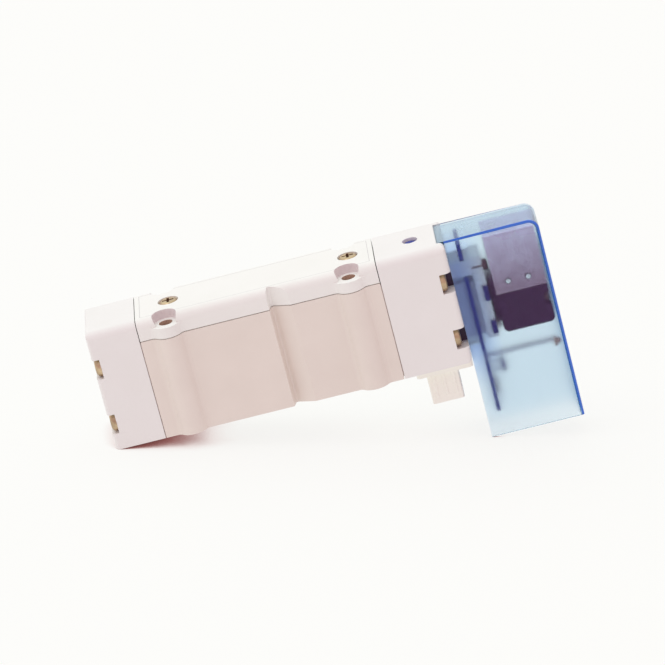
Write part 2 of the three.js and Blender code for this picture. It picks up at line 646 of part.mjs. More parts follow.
// ---------------------------------------------------------------- pilot mounting block
const BLOCK_FACE_START = 51.5;    // where the block widens into the plate under the pilot
const BLOCK_FACE = 54.2;
const PILOT_FACE = 54.8;
const PILOT_SCREWS = { near: [-3.4, 9.7], far: [3.4, 5.7] };
const PILOT_SCREW_HOLE = 0.8;
const SUPPLY = { z: 8.2, radius: 0.6 };
const DROP_X = 52.8;              // where the supply turns down inside the block
const EARS = [[12.6, 16.4], [4, 7.3]];
const LOWER_NECK = { y: [-2.6, 2.6], z: [3.8, 17.8] };
const UPPER_NECK = { y: [-4.6, 4.4], z: [19.9, 23.7] };
const NECK_GAP = 0.3;             // clearance of the necks in the circuit board

function mountingBlock() {
  const face = BLOCK_FACE + PAST;
  const ears = EARS.map((levels) => box([53, BLOCK_FACE], [-5.1, 5.1], levels));
  const block = union([
    box([ADAPTER_RIGHT, BLOCK_FACE_START], LOWER_NECK.y, LOWER_NECK.z),
    box([ADAPTER_RIGHT, BLOCK_FACE_START], UPPER_NECK.y, UPPER_NECK.z),
    box([BLOCK_FACE_START, BLOCK_FACE], [-4.4, 4.4], [3, 24]),
    ...ears,
  ]);
  return cut(block, [
    ...Object.values(BLOCK_SCREWS).map((place) => (
      rod("x", place, BLOCK_SCREW_HOLE.radius, 0, face, SMALL_ROUND))),
    ...Object.values(PILOT_SCREWS).map((place) => (
      rod("x", place, PILOT_SCREW_HOLE, 50, face, SMALL_ROUND))),
    rod("x", [0, AIR_PORT_Z], AIR_PORT_RADIUS, 0, face, SMALL_ROUND),
    rod("x", [PILOT_FEED.y, PILOT_FEED.z], PILOT_FEED.radius, 0, DROP_X, SMALL_ROUND),
    rod("z", [DROP_X, PILOT_FEED.y], SUPPLY.radius, SUPPLY.z, PILOT_FEED.z, SMALL_ROUND),
    rod("y", [SUPPLY.z, DROP_X], SUPPLY.radius, 0, PILOT_FEED.y, SMALL_ROUND),
    rod("x", [0, SUPPLY.z], SUPPLY.radius, DROP_X, face, SMALL_ROUND),
  ]);
}

// Small cheese-head screw along +X: its seat is at 0 and the shank runs along -X.
function smallScrew(length) {
  const screw = turned("x", [0, 0], [
    [-length, 0], [-length, 0.7], [0, 0.7], [0, 1.35], [1, 1.35], [1.15, 1.15], [1.15, 0],
  ], 12);
  return screw.subtract(box([0.6, 1.15 + PAST], [-2, 2], [-0.2, 0.2]));
}

addPiece("pilot_mounting_block", "housing", mountingBlock());
for (const [name, [y, z]] of Object.entries(BLOCK_SCREWS)) {
  addPiece(`block_screw_${name}`, "steel", smallScrew(12.2)).position.set(BLOCK_FACE, y, z);
}

// ---------------------------------------------------------------- circuit boards
function circuitBoard() {
  const { left, right, near, far, bottom, top } = BOARD;
  const through = [left - PAST, right + PAST];
  const grown = ([a, b], by) => [a - by, b + by];
  const upper = grown(UPPER_NECK.z, NECK_GAP);
  const edgeNotch = [-3.5, 0];    // cut into both long edges below the necks
  const contactHole = grown([CONTACT_LEVEL, CONTACT_LEVEL], 0.4);
  return cut(box([left, right], [near, far], [bottom, top]), [
    box(through, grown(LOWER_NECK.y, NECK_GAP), grown(LOWER_NECK.z, NECK_GAP)),
    box(through, [near - PAST, UPPER_NECK.y[1] + NECK_GAP], upper),
    box(through, [near - PAST, near + 1], edgeNotch),
    box(through, [far - 1, far + PAST], edgeNotch),
    ...CONTACT_Y.map((y) => box(through, [y - 0.4, y + 0.4], contactHole)),
  ]);
}

// A part soldered to the circuit board's pilot side: a body held off on two thin legs.
function boardPart([y0, y1], [z0, z1], { legGap, legHalf, height, thickness }) {
  const [y, z] = [(y0 + y1) / 2, (z0 + z1) / 2];
  const start = BOARD.right + height;
  const legs = [-1, 1].map((side) => box([BOARD.right, start], [y - legHalf, y + legHalf],
    [z + side * legGap - legHalf, z + side * legGap + legHalf]));
  return union([box([start, start + thickness], [y0, y1], [z0, z1]), ...legs]);
}

addPiece("circuit_board", "board", circuitBoard());
addPiece("surge_diode", "black", boardPart([-1.4, 1.4], [-7.2, -4.1],
  { legGap: 1, legHalf: 0.16, height: 2.6, thickness: 1.2 }));
addPiece("series_resistor", "black", boardPart([1, 3.8], [-13.4, -9.4],
  { legGap: 1.6, legHalf: 0.3, height: 0.2, thickness: 0.6 }));

const LAMP_BOARD = { right: 66.6, y: [-3, -0.8], z: [-2.4, -1.8] };
const LAMP = { left: 66.65, base: 67.3, y: -3.4, z: -2.1, half: 1, radius: 0.85, tip: 68.4 };
addPiece("lamp_board", "board",
  box([BOARD.right, LAMP_BOARD.right], LAMP_BOARD.y, LAMP_BOARD.z));
addPiece("indicator_lamp", "lamp", union([
  box([LAMP.left, LAMP.base], [LAMP.y - LAMP.half, LAMP.y + LAMP.half],
    [LAMP.z - LAMP.half, LAMP.z + LAMP.half]),
  turned("x", [LAMP.y, LAMP.z], [
    [LAMP.base - 0.1, 0], [LAMP.base - 0.1, LAMP.radius], [67.9, 0.9 * LAMP.radius],
    [68.25, 0.5 * LAMP.radius], [LAMP.tip, 0],
  ], 16),
]));

// ---------------------------------------------------------------- pilot solenoid valve
const PILOT = { left: 55.7, right: 68.3, bottom: 3.6, top: 13.3, halfWidth: 5, axisX: 62 };
const YOKE = { left: 55.8, right: 68.3, bottom: 13.5, top: 28.8, halfWidth: 5.2, plate: 1 };
const BOBBIN = { bottom: 13.8, flange: 17.2, top: 27.7, bore: 2.25, tube: 2.7 };
const PLUNGER = { bottom: 11.45, top: 21.4, radius: 2, pocket: 1.3, pocketFloor: 18.6, lift: 0.5 };
const CORE_BOTTOM = PLUNGER.top + PLUNGER.lift + 0.05;
const PILOT_SCREW_SEAT = PILOT.right - 1.4;
const TERMINAL_X = [59.35, 64.3];
const TERMINAL_Z = 16.4;
const centre = [PILOT.axisX, 0];

// Air passages and screw holes that run along X between two places.
function pilotPassages(from, to, grow) {
  const across = (place, radius) => rod("x", place, radius + grow, from, to, SMALL_ROUND);
  return [across([0, AIR_PORT_Z], AIR_PORT_RADIUS), across([0, SUPPLY.z], SUPPLY.radius)];
}

function pilotBody() {
  const right = PILOT.right + PAST;
  const block = union([
    box([PILOT.left, PILOT.right], [-PILOT.halfWidth, PILOT.halfWidth], [PILOT.bottom, PILOT.top]),
    box([PILOT_FACE, PILOT.left], [-4.3, 4.3], [6.6, 17.6]),
  ]);
  // Notches in the two corners give the screw heads their seats.
  const notches = Object.values(PILOT_SCREWS).map(([y, z]) => {
    const ys = y < 0 ? [-PILOT.halfWidth - PAST, y + 1.6] : [y - 1.6, PILOT.halfWidth + PAST];
    return box([PILOT_SCREW_SEAT, right], ys, [z - 1.5, z + 1.5]);
  });
  const bored = cut(block, [
    rod("z", centre, 2.3, 10.2, PILOT.top + PAST),
    ...pilotPassages(PILOT_FACE - PAST, PILOT.axisX, 0),
    ...Object.values(PILOT_SCREWS).map((place) => (
      rod("x", place, PILOT_SCREW_HOLE, 0, right, SMALL_ROUND))),
    ...notches,
  ]);
  const nozzle = rod("z", centre, 0.95, 10, 11.1, SMALL_ROUND);
  return bored.add(nozzle).subtract(rod("z", centre, 0.4, SUPPLY.z, 12, 8));
}

function pilotGasket() {
  const sheet = box([BLOCK_FACE, PILOT_FACE], [-4.3, 4.3], [7, 16.8]);
  return cut(sheet, [
    ...pilotPassages(0, FAR, 0.1),
    rod("x", PILOT_SCREWS.near, PILOT_SCREW_HOLE + 0.05, 0, FAR, SMALL_ROUND),
  ]);
}

function yoke() {
  const { left, right, bottom, top, halfWidth, plate } = YOKE;
  const sheet = prism("x", [
    [-halfWidth, bottom], [-halfWidth + plate, bottom], [-halfWidth + plate, top - plate],
    [halfWidth - plate, top - plate], [halfWidth - plate, bottom], [halfWidth, bottom],
    ...arcPoints([halfWidth - 0.8, top - 0.8], 0.8, 0, 90, 4),
    ...arcPoints([-halfWidth + 0.8, top - 0.8], 0.8, 90, 180, 4),
  ], left, right);
  return cut(sheet, TERMINAL_X.map((x) => (
    rod("y", [TERMINAL_Z, x], 0.8, -halfWidth - PAST, -halfWidth + plate + 0.1, SMALL_ROUND))));
}

function bobbin() {
  const reach = YOKE.halfWidth - YOKE.plate - 0.1;
  const flanges = [[BOBBIN.bottom, BOBBIN.flange], [BOBBIN.top - 1, BOBBIN.top]].map((levels) => (
    box([YOKE.left + 0.5, YOKE.right - 0.5], [-reach, reach], levels)));
  return cut(union([...flanges, rod("z", centre, BOBBIN.tube, BOBBIN.bottom, BOBBIN.top)]), [
    rod("z", centre, BOBBIN.bore, BOBBIN.bottom - PAST, BOBBIN.top + PAST),
    ...TERMINAL_X.map((x) => rod("y", [TERMINAL_Z, x], 0.5, -HALF, -reach + 1, SMALL_ROUND)),
  ]);
}

function winding() {
  const [inside, outside] = [BOBBIN.tube + 0.05, 4];
  const [low, high] = [BOBBIN.flange + 0.05, BOBBIN.top - 1.05];
  return turned("z", centre, [
    [low, inside], [low, outside], [high, outside], [high, inside], [low, inside],
  ]);
}

function plunger() {
  const { bottom, top, radius, pocket, pocketFloor } = PLUNGER;
  return turned("z", centre, [
    [bottom, 0], [bottom, radius], [top, radius],
    [top, pocket], [pocketFloor, pocket], [pocketFloor, 0],
  ], 20).subtract(rod("z", centre, 1.1, bottom - PAST, bottom + 0.5, 16));
}

addPiece("pilot_body", "black", pilotBody());
addPiece("pilot_gasket", "rubber", pilotGasket());
for (const [name, [y, z]] of Object.entries(PILOT_SCREWS)) {
  addPiece(`pilot_screw_${name}`, "steel", smallScrew(15.2)).position.set(PILOT_SCREW_SEAT, y, z);
}
addPiece("pilot_yoke", "steel", yoke());
addPiece("coil_bobbin", "black", bobbin());
addPiece("coil_winding", "copper", winding());
addPiece("pilot_core", "steel", rod("z", centre, 2.15, CORE_BOTTOM, YOKE.top - YOKE.plate, 24));
addPiece("pilot_plunger", "steel", plunger());
addPiece("plunger_seal", "rubber", rod("z", centre, 1.05, 11.15, PLUNGER.bottom + 0.45, 16));
addPiece("plunger_spring", "steel",
  coil("z", centre, 0.95, 0.3, PLUNGER.pocketFloor, CORE_BOTTOM, 5));
TERMINAL_X.forEach((x, i) => {
  addPiece(`coil_terminal_${i + 1}`, "steel", rod("y", [TERMINAL_Z, x], 0.44, -5.6, -3.3, SMALL_ROUND));
});

// ---------------------------------------------------------------- see-through cover
function pilotCover() {
  const cornerRadius = 2.6;
  const shell = (left, inset) => {
    const [right, top] = [COVER_RIGHT - inset, COVER_TOP - inset];
    const radius = cornerRadius - inset;
    const corner = arcPoints([right - radius, top - radius], radius, 0, 90, 6);
    return [[left, COVER_BOTTOM - inset], [right, COVER_BOTTOM - inset], ...corner, [left, top]]
      .map(([x, z]) => [z, x]);
  };
  const inner = COVER_HALF_WIDTH - COVER_WALL;
  const outside = prism("y", shell(ADAPTER_RIGHT + 0.05, 0), -COVER_HALF_WIDTH, COVER_HALF_WIDTH);
  const inside = prism("y", shell(0, COVER_WALL), -inner, inner);
  const tongue = box([COVER_LIP, ADAPTER_RIGHT + 0.5], [-COVER_HALF_WIDTH, COVER_HALF_WIDTH],
    [COVER_TOP - COVER_WALL, COVER_TOP]);
  return outside.subtract(inside).add(tongue);
}

addPiece("pilot_cover", "tinted", pilotCover());

export default valve;
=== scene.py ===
"""Narrow base-mounted solenoid valve: refined pieces, materials, floor, light and camera."""
import math

import bmesh
import bpy
from mathutils import Matrix, Vector


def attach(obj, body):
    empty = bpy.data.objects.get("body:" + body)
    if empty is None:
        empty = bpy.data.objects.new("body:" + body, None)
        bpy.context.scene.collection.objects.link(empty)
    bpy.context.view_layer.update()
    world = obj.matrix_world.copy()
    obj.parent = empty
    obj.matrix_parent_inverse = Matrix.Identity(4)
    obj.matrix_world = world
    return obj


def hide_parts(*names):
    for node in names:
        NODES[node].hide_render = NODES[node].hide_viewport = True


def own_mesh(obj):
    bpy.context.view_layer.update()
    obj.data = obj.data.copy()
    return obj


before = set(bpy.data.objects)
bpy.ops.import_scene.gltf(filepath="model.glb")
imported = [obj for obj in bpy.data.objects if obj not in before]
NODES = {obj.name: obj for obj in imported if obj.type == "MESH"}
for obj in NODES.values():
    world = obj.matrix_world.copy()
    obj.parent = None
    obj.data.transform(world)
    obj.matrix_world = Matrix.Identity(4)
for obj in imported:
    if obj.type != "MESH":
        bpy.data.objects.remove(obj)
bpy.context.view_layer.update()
MM = 0.001
ROOT = "valve"

# -------------------- dimensions, in mm
FINE = 64  # sides of a large round feature
ROUND = 40  # sides of a middle-sized one
SMALL = 24  # sides of a drilled hole or a pin
PAST = 1  # how far a cutting shape runs past the face that it opens

HALF_WIDTH = 10.0
HEIGHT = 30.5
VALVE_LEFT = -42.0
BODY_END = 29.5  # half the length of the valve body and of the top plate
SEAM_END = 29.7  # where the end cover and the adapter start, past their gaskets
ADAPTER_RIGHT = 46.5
BODY_TOP = 25.3
PLATE_BOTTOM = 25.5
EDGE_RADIUS = 2.3  # rounding of the long upper edges
SPOOL_Z = 14.0
PORT_X = (-14.0, -7.0, 7.0, 14.0)

HOLE_X, HOLE_Y = 22.5, 8.4  # mounting holes
HOLE_RADIUS = 1.7
COUNTERBORE = 3
SEAT_Z = 28.2
COLUMN_RADIUS = 3.7
COLUMN_FILLET = 1.5
GROOVE_LEFT, GROOVE_RIGHT, GROOVE_DEPTH = 2.3, 7.6, 2.4

HEAD_RADIUS, HEAD_HEIGHT = 2.35, 1.5
HEAD_ROOM = 0.4  # between a screw's head and the inner wall of its pocket
RECESS_REACH = 1.5  # a circle around the arms of a screw's cross recess
SCREW_HOLE = 1.35  # radius of the hole for a pan-head screw
PLATE_SCREWS = {"left": (-21.2, 0.0), "right": (23.3, 0.0)}
PLATE_SCREW_SEAT = HEIGHT - 1.35
END_SCREW_Y = 7.8
END_SCREW_Z = {"lower": 6.6, "upper": 21.1}
SIDES = {"near": -1, "far": 1}
END_SEAT = VALVE_LEFT + 1.8  # where the heads of the end cover's screws sit
ADAPTER_SEAT = ADAPTER_RIGHT - 2.9

PISTON_BORE_END = SEAM_END + 11.2
FEED_Y, FEED_Z = 3.2, 22.5  # air passage to the pilot, out of the body's right end
FEED_RADIUS = 0.7
AIR_PORT_Z, AIR_PORT_RADIUS = 12, 0.8
OVERRIDE_X = 38.7
OVERRIDE_FLOOR = 21

COVER_LEFT, COVER_RIGHT = 46.55, 69.6
COVER_BOTTOM, COVER_TOP = -21.5, 30.5
COVER_HALF = 6.5
COVER_WALL = 0.8
COVER_CORNER = 2.6
COVER_LIP = 44.9  # where the cover's tongue starts on the adapter's top
COVER_EDGE = 0.55  # width of the deep-blue edges
COVER_SOFT_EDGE = 0.1
BOARD_FACE = 50.2  # the circuit board's pilot side
PILOT_X = 62.0
BLOCK_SCREWS = {"upper": (-3.6, 21.5), "lower": (0, 5)}
BLOCK_SCREW_SEAT = 54.2
PILOT_SCREWS = {"near": (-3.4, 9.7), "far": (3.4, 5.7)}
PILOT_SCREW_SEAT = 66.9
TERMINAL_X, TERMINAL_Z = (59.35, 64.3), 16.4

SAME_POINT = 1e-7  # in metres
SAME_CORNER = 1e-6  # in metres
FLAT_ANGLE = 0.4  # faces that meet at less than this, in degrees, are merged
FLAT_ANGLE_CAD = 0.5
EDGE_ANGLE = 28  # edges sharper than this, in degrees, are rounded
WIDE_EDGE, MOULDED_EDGE, SMALL_EDGE, FINE_EDGE = 0.2, 0.15, 0.06, 0.04


# -------------------- shapes
def place(axis, u, v, w):
    """A point w along an axis with u and v across it, from millimetres to metres."""
    turned_to = {"x": (w, u, v), "y": (v, w, u), "z": (u, v, w)}
    return Vector(turned_to[axis]) * MM


def shell(rings, closed=False):
    """A closed surface through rings of points; closed joins the last ring to the first."""
    mesh = bmesh.new()
    loops = [[mesh.verts.new(point) for point in ring] for ring in rings]
    pairs = list(zip(loops, loops[1:] + (loops[:1] if closed else [])))
    for one, other in pairs:
        for i in range(len(one)):
            j = (i + 1) % len(one)
            mesh.faces.new((one[i], one[j], other[j], other[i]))
    if not closed:
        mesh.faces.new(loops[0])
        mesh.faces.new(loops[-1])
    bmesh.ops.recalc_face_normals(mesh, faces=mesh.faces)
    return mesh


def prism(axis, outline, low, high):
    """An outline carried straight along an axis."""
    return shell([[place(axis, u, v, w) for u, v in outline] for w in (low, high)])


def box(xs, ys, zs):
    return prism("z", [(xs[0], ys[0]), (xs[1], ys[0]), (xs[1], ys[1]), (xs[0], ys[1])], *zs)


def circle(centre, radius, sides):
    turns = [2 * math.pi * i / sides for i in range(sides)]
    return [(centre[0] + radius * math.cos(a), centre[1] + radius * math.sin(a)) for a in turns]


def rod(axis, centre, radius, low, high, sides=FINE):
    return prism(axis, circle(centre, radius, sides), low, high)


def turned(axis, centre, profile, sides=FINE):
    """A turned piece; profile points are (place along the axis, radius)."""
    least = 0.02  # radius that stands for a point
    rings = [[place(axis, u, v, along) for u, v in circle(centre, max(radius, least), sides)]
             for along, radius in profile]
    return shell(rings)


def ring(axis, centre, along, radius, thickness, sides=FINE, section=16):
    """A ring of round section; thickness is the section's radius."""
    turns = [2 * math.pi * i / section for i in range(section)]
    rings = [[place(axis, u, v, along + thickness * math.sin(a))
              for u, v in circle(centre, radius + thickness * math.cos(a), sides)] for a in turns]
    return shell(rings, closed=True)


def arc(centre, radius, start, stop, steps):
    """Points on an arc, with angles in degrees."""
    points = []
    for i in range(steps + 1):
        angle = math.radians(start + (stop - start) * i / steps)
        points.append((centre[0] + radius * math.cos(angle),
                       centre[1] + radius * math.sin(angle)))
    return points


def rounded(us, vs, radius, steps=8):
    """Outline of a rectangle with rounded corners."""
    (u0, u1), (v0, v1) = us, vs
    corners = [(u1, v0, -90), (u1, v1, 0), (u0, v1, 90), (u0, v0, 180)]
    points = []
    for u, v, start in corners:
        centre = (u - radius if u == u1 else u + radius, v - radius if v == v1 else v + radius)
        points += arc(centre, radius, start, start + 90, steps)
    return points


def new_object(name, data):
    obj = bpy.data.objects.new(name, data)
    bpy.context.scene.collection.objects.link(obj)
    return obj


def as_object(shape, name):
    mesh = bpy.data.meshes.new(name)
    shape.to_mesh(mesh)
    shape.free()
    return new_object(name, mesh)


def combine(shape, others, operation="DIFFERENCE"):
    """The shape with the others cut away, joined on or met."""
    target = as_object(shape, "target")
    tools = [as_object(other, "tool") for other in others]
    for tool in tools:
        step = target.modifiers.new("combine", "BOOLEAN")
        step.operation, step.object, step.solver = operation, tool, "MANIFOLD"
    bpy.context.view_layer.update()
    result = bmesh.new()
    result.from_object(target, bpy.context.evaluated_depsgraph_get())
    for used in [target, *tools]:
        bpy.data.objects.remove(used)
    bmesh.ops.remove_doubles(result, verts=result.verts, dist=SAME_POINT)
    bmesh.ops.dissolve_limit(result, angle_limit=math.radians(FLAT_ANGLE), verts=result.verts,
                             edges=result.edges, delimit={"NORMAL"})
    return result


def join(shape, others):
    return combine(shape, others, "UNION")


# -------------------- finishing a piece
def soften(obj, width, segments=3):
    """Rounded edges and clean shading; width is in mm."""
    for face in obj.data.polygons:
        face.use_smooth = True
    if width:
        bevel = obj.modifiers.new("edges", "BEVEL")
        bevel.width, bevel.segments = width * MM, segments
        bevel.limit_method, bevel.angle_limit = "ANGLE", math.radians(EDGE_ANGLE)
        bevel.miter_outer = "MITER_ARC"
    normals = obj.modifiers.new("normals", "WEIGHTED_NORMAL")
    normals.keep_sharp = True


def finish_piece(node, shape, material, width=MOULDED_EDGE, body=ROOT, segments=3):
    """The refined piece that stands for one CAD node."""
    obj = as_object(shape, f"{node}_fine")
    obj.data.materials.append(material)
    soften(obj, width, segments)
    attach(obj, body)
    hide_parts(node)
    return obj


def dress_node(node, material, width):
    """A CAD node that keeps its shape, with merged faces and softened edges."""
    obj = NODES[node]
    obj.data.materials.clear()
    obj.data.materials.append(material)
    weld = obj.modifiers.new("weld", "WELD")
    weld.merge_threshold = SAME_CORNER
    flat = obj.modifiers.new("flat", "DECIMATE")
    flat.decimate_type, flat.angle_limit = "DISSOLVE", math.radians(FLAT_ANGLE_CAD)
    soften(obj, width, 2)


# -------------------- materials
NOISE_RANGE = (0.3, 0.7)  # where a noise texture's values mostly lie
MOTTLE = (0.3, 0.75)  # part of that range over which plastic changes colour
TARNISH = (0.35, 0.7)  # and over which metal does
GRAIN_DEPTH = 0.02  # in mm
LINE_BUMP = 0.1


def link(tree, source, socket):
    tree.links.new(source, socket)


def feed(tree, node, **inputs):
    """Sets a node's inputs, each to a value or a socket; _ stands for a space in a name."""
    for name, value in inputs.items():
        socket = node.inputs[name.replace("_", " ")]
        if isinstance(value, bpy.types.NodeSocket):
            link(tree, value, socket)
        else:
            socket.default_value = value


def texture(tree, kind, stretch=(1, 1, 1), **values):
    """A texture on the row frame's coordinates."""
    node = tree.nodes.new(kind)
    where = tree.nodes.new("ShaderNodeTexCoord")
    mapping = tree.nodes.new("ShaderNodeMapping")
    feed(tree, mapping, Vector=where.outputs["Object"], Scale=stretch)
    feed(tree, node, Vector=mapping.outputs["Vector"], **values)
    return node


def row_axes(tree):
    """Sockets of the three coordinates in the row frame, in metres."""
    point = tree.nodes.new("ShaderNodeTexCoord")
    parts = tree.nodes.new("ShaderNodeSeparateXYZ")
    feed(tree, parts, Vector=point.outputs["Object"])
    return [parts.outputs[name] for name in "XYZ"]


def blend_colours(tree, factor, first, second):
    """A mix of two colours, each a colour or a socket, by a socket's value."""
    mix = tree.nodes.new("ShaderNodeMix")
    mix.data_type = "RGBA"
    link(tree, factor, mix.inputs["Factor"])
    for name, value in (("A", first), ("B", second)):
        socket = next(s for s in mix.inputs if s.name == name and s.type == "RGBA")
        if isinstance(value, tuple):
            socket.default_value = (*value, 1)
        else:
            link(tree, value, socket)
    return next(s for s in mix.outputs if s.type == "RGBA")


def span(tree, value, low, high, to_low=0.0, to_high=1.0):
    """A value mapped from one range to another, clamped."""
    node = tree.nodes.new("ShaderNodeMapRange")
    feed(tree, node, Value=value, From_Min=low, From_Max=high, To_Min=to_low, To_Max=to_high)
    return node.outputs["Result"]


def compute(tree, operation, *values):
    """A Math node; each value is a number or a socket."""
    node = tree.nodes.new("ShaderNodeMath")
    node.operation = operation
    for socket, value in zip(node.inputs, values):
        if isinstance(value, (int, float)):
            socket.default_value = value
        else:
            link(tree, value, socket)
    return node.outputs["Value"]


def product(tree, first, second):
    return compute(tree, "MULTIPLY", first, second)


def below(tree, value, limit):
    """1 where a coordinate is below a limit in mm, else 0."""
    return compute(tree, "LESS_THAN", value, limit * MM)


def add_bump(tree, shader, height, strength):
    bump = tree.nodes.new("ShaderNodeBump")
    feed(tree, bump, Height=height, Strength=strength, Distance=GRAIN_DEPTH * MM)
    feed(tree, shader, Normal=bump.outputs["Normal"])


def new_material(slot, **sockets):
    material = bpy.data.materials.new(slot)
    material["slot"] = slot
    material.use_nodes = True
    tree = material.node_tree
    shader = tree.nodes["Principled BSDF"]
    feed(tree, shader, **sockets)
    return material, tree, shader


def moulded(slot, colour, dark, roughness, grain=0.12, **sockets):
    """Moulded plastic or paint: fine grain, faint mottling and uneven gloss."""
    material, tree, shader = new_material(slot, **sockets)
    cloud = texture(tree, "ShaderNodeTexNoise", Scale=90.0, Detail=3.0, Roughness=0.6)
    fine = texture(tree, "ShaderNodeTexNoise", Scale=5200.0, Detail=2.0, Roughness=0.5)
    tint = span(tree, cloud.outputs["Fac"], *MOTTLE)
    gloss = span(tree, cloud.outputs["Fac"], *NOISE_RANGE, roughness - 0.05, roughness + 0.06)
    feed(tree, shader, Base_Color=blend_colours(tree, tint, colour, dark), Roughness=gloss)
    add_bump(tree, shader, fine.outputs["Fac"], grain)
    return material


def metal(slot, colour, dark, roughness, stretch=(1, 1, 1), scale=900.0, **sockets):
    """Plated or machined metal: fine lines, uneven colour and gloss."""
    material, tree, shader = new_material(slot, Metallic=1.0, **sockets)
    lines = texture(tree, "ShaderNodeTexNoise", stretch, Scale=scale, Detail=4.0)
    cloud = texture(tree, "ShaderNodeTexNoise", Scale=350.0, Detail=2.0)
    tint = span(tree, cloud.outputs["Fac"], *TARNISH)
    gloss = span(tree, lines.outputs["Fac"], *NOISE_RANGE, roughness - 0.08, roughness + 0.12)
    feed(tree, shader, Base_Color=blend_colours(tree, tint, colour, dark), Roughness=gloss)
    add_bump(tree, shader, lines.outputs["Fac"], LINE_BUMP)
    return material


def base_colour(material):
    """A material's node tree, its colour socket and what feeds it."""
    tree = material.node_tree
    socket = tree.nodes["Principled BSDF"].inputs["Base Color"]
    return tree, socket, socket.links[0].from_socket


def tint_ears(material, start, beyond, colour):
    """A second colour past a place along X and past a distance from the centre plane, in mm."""
    tree, socket, before = base_colour(material)
    x, y, _ = row_axes(tree)
    plain = compute(tree, "MAXIMUM", below(tree, x, start),
                    below(tree, compute(tree, "ABSOLUTE", y), beyond))
    link(tree, blend_colours(tree, plain, colour, before), socket)


def shade_upwards(material, levels, shade):
    """Painted shade: multiplies the colour by a darker shade below the first level in mm, fading to
    the second.
    """
    tree, socket, before = base_colour(material)
    rise = span(tree, row_axes(tree)[2], levels[0] * MM, levels[1] * MM)
    darker = tree.nodes.new("ShaderNodeVectorMath")
    darker.operation = "MULTIPLY"
    link(tree, before, darker.inputs[0])
    darker.inputs[1].default_value = shade
    link(tree, blend_colours(tree, rise, darker.outputs["Vector"], before), socket)


def print_frame(material, corners, width, colour):
    """A thin printed rectangle, its corner and line width in mm from the plate's middle."""
    tree, socket, before = base_colour(material)
    x, y, _ = row_axes(tree)
    beyond = []
    for axis, reach in ((x, corners[0]), (y, corners[1])):
        beyond.append(compute(tree, "SUBTRACT", compute(tree, "ABSOLUTE", axis), reach * MM))
    edge = compute(tree, "ABSOLUTE", compute(tree, "MAXIMUM", *beyond))
    line = below(tree, edge, width / 2)
    link(tree, blend_colours(tree, line, before, colour), socket)


DEEP_BLUE = (0.02, 0.03, 0.20)  # how the parts behind the tinted cover look
EARS_START, EARS_BEYOND = 52.5, 4.45
FRAME_CORNER, FRAME_LINE, FRAME_GREY = (28.3, 7.3), 0.14, (0.62, 0.60, 0.60)
YOKE_LEVELS, YOKE_SHADE = (15, 27), (0.60, 0.50, 0.52)

HOUSING = moulded("housing_plastic", (0.88, 0.865, 0.85), (0.86, 0.845, 0.825), 0.5)
BODY = moulded("body_paint", (0.84, 0.765, 0.70), (0.81, 0.735, 0.67), 0.45, grain=0.2)
PLATE = moulded("plate_plastic", (0.90, 0.895, 0.865), (0.88, 0.875, 0.84), 0.5)
print_frame(PLATE, FRAME_CORNER, FRAME_LINE, FRAME_GREY)
IVORY = moulded("ivory_plastic", (0.97, 0.955, 0.88), (0.95, 0.93, 0.85), 0.42)
RUBBER = moulded("rubber", (0.02, 0.02, 0.022), (0.03, 0.03, 0.032), 0.7, grain=0.4)
# painted light: the end gaskets' rubber made pale so that the seams between the parts look lighter
# than their shade
SEAM_PAINTED_LIGHT = moulded("rubber", (0.72, 0.62, 0.58), (0.66, 0.56, 0.52), 0.7, grain=0.4)
BLACK = moulded("black_plastic", (0.055, 0.006, 0.05), (0.07, 0.010, 0.065), 0.5)
BLUE = moulded("override_blue", (0.02, 0.045, 0.36), (0.018, 0.04, 0.30), 0.35)
STEEL = metal("plated_steel", (0.62, 0.58, 0.52), (0.5, 0.46, 0.42), 0.32)
YELLOW = metal("yellow_plating", (0.64, 0.49, 0.31), (0.40, 0.29, 0.19), 0.38)
CONTACT = metal("contact_metal", (0.80, 0.74, 0.58), (0.74, 0.68, 0.52), 0.25)
SOLDER = moulded("solder_metal", (0.98, 0.97, 0.95), (0.92, 0.91, 0.9), 0.3, Metallic=0.2)
YOKE = metal("yoke_steel", (0.96, 0.84, 0.98), (0.88, 0.74, 0.87), 0.62, (1, 1, 0.08), 4000.0)
# painted shade: the yoke darker towards its bottom
shade_upwards(YOKE, YOKE_LEVELS, YOKE_SHADE)
DARK_SCREW = metal("plated_steel", (0.26, 0.17, 0.15), (0.14, 0.09, 0.09), 0.35)
SLEEVE = metal("sleeve_aluminium", (0.72, 0.72, 0.73), (0.66, 0.66, 0.68), 0.3, (8, 1, 1))
COPPER = metal("copper_wire", (0.6, 0.25, 0.11), (0.5, 0.2, 0.09), 0.3)
BOARD = moulded("board_laminate", (0.015, 0.05, 0.28), (0.02, 0.07, 0.34), 0.35)
BLOCK = moulded("housing_plastic", (0.90, 0.90, 0.90), (0.87, 0.87, 0.88), 0.5)
tint_ears(BLOCK, EARS_START, EARS_BEYOND, DEEP_BLUE)
DIODE = moulded("black_plastic", DEEP_BLUE, (0.03, 0.05, 0.24), 0.4)
LAMP_STRIP = moulded("board_laminate", (0.90, 0.94, 0.97), (0.87, 0.92, 0.96), 0.4)
LAMP = moulded("lamp_lens", (0.60, 0.42, 0.36), (0.52, 0.36, 0.30), 0.2)
HOLE = moulded("hole_shade", (0.64, 0.46, 0.35), (0.58, 0.41, 0.31), 0.6)
SEAT = moulded("seat_shade", (0.82, 0.75, 0.75), (0.78, 0.71, 0.71), 0.6)
POCKET = moulded("pocket_shade", (0.05, 0.025, 0.06), (0.07, 0.035, 0.08), 0.6)
RECESS = metal("recess_shade", (0.34, 0.21, 0.13), (0.24, 0.15, 0.10), 0.5)
# tint and painted light: the cover's long edges deep blue, as the light carried along the tinted
# walls makes them
TINT_AND_EDGE_LIGHT = moulded("tint_and_edge_light", (0.035, 0.15, 0.66), (0.045, 0.17, 0.70), 0.3, grain=0.0)

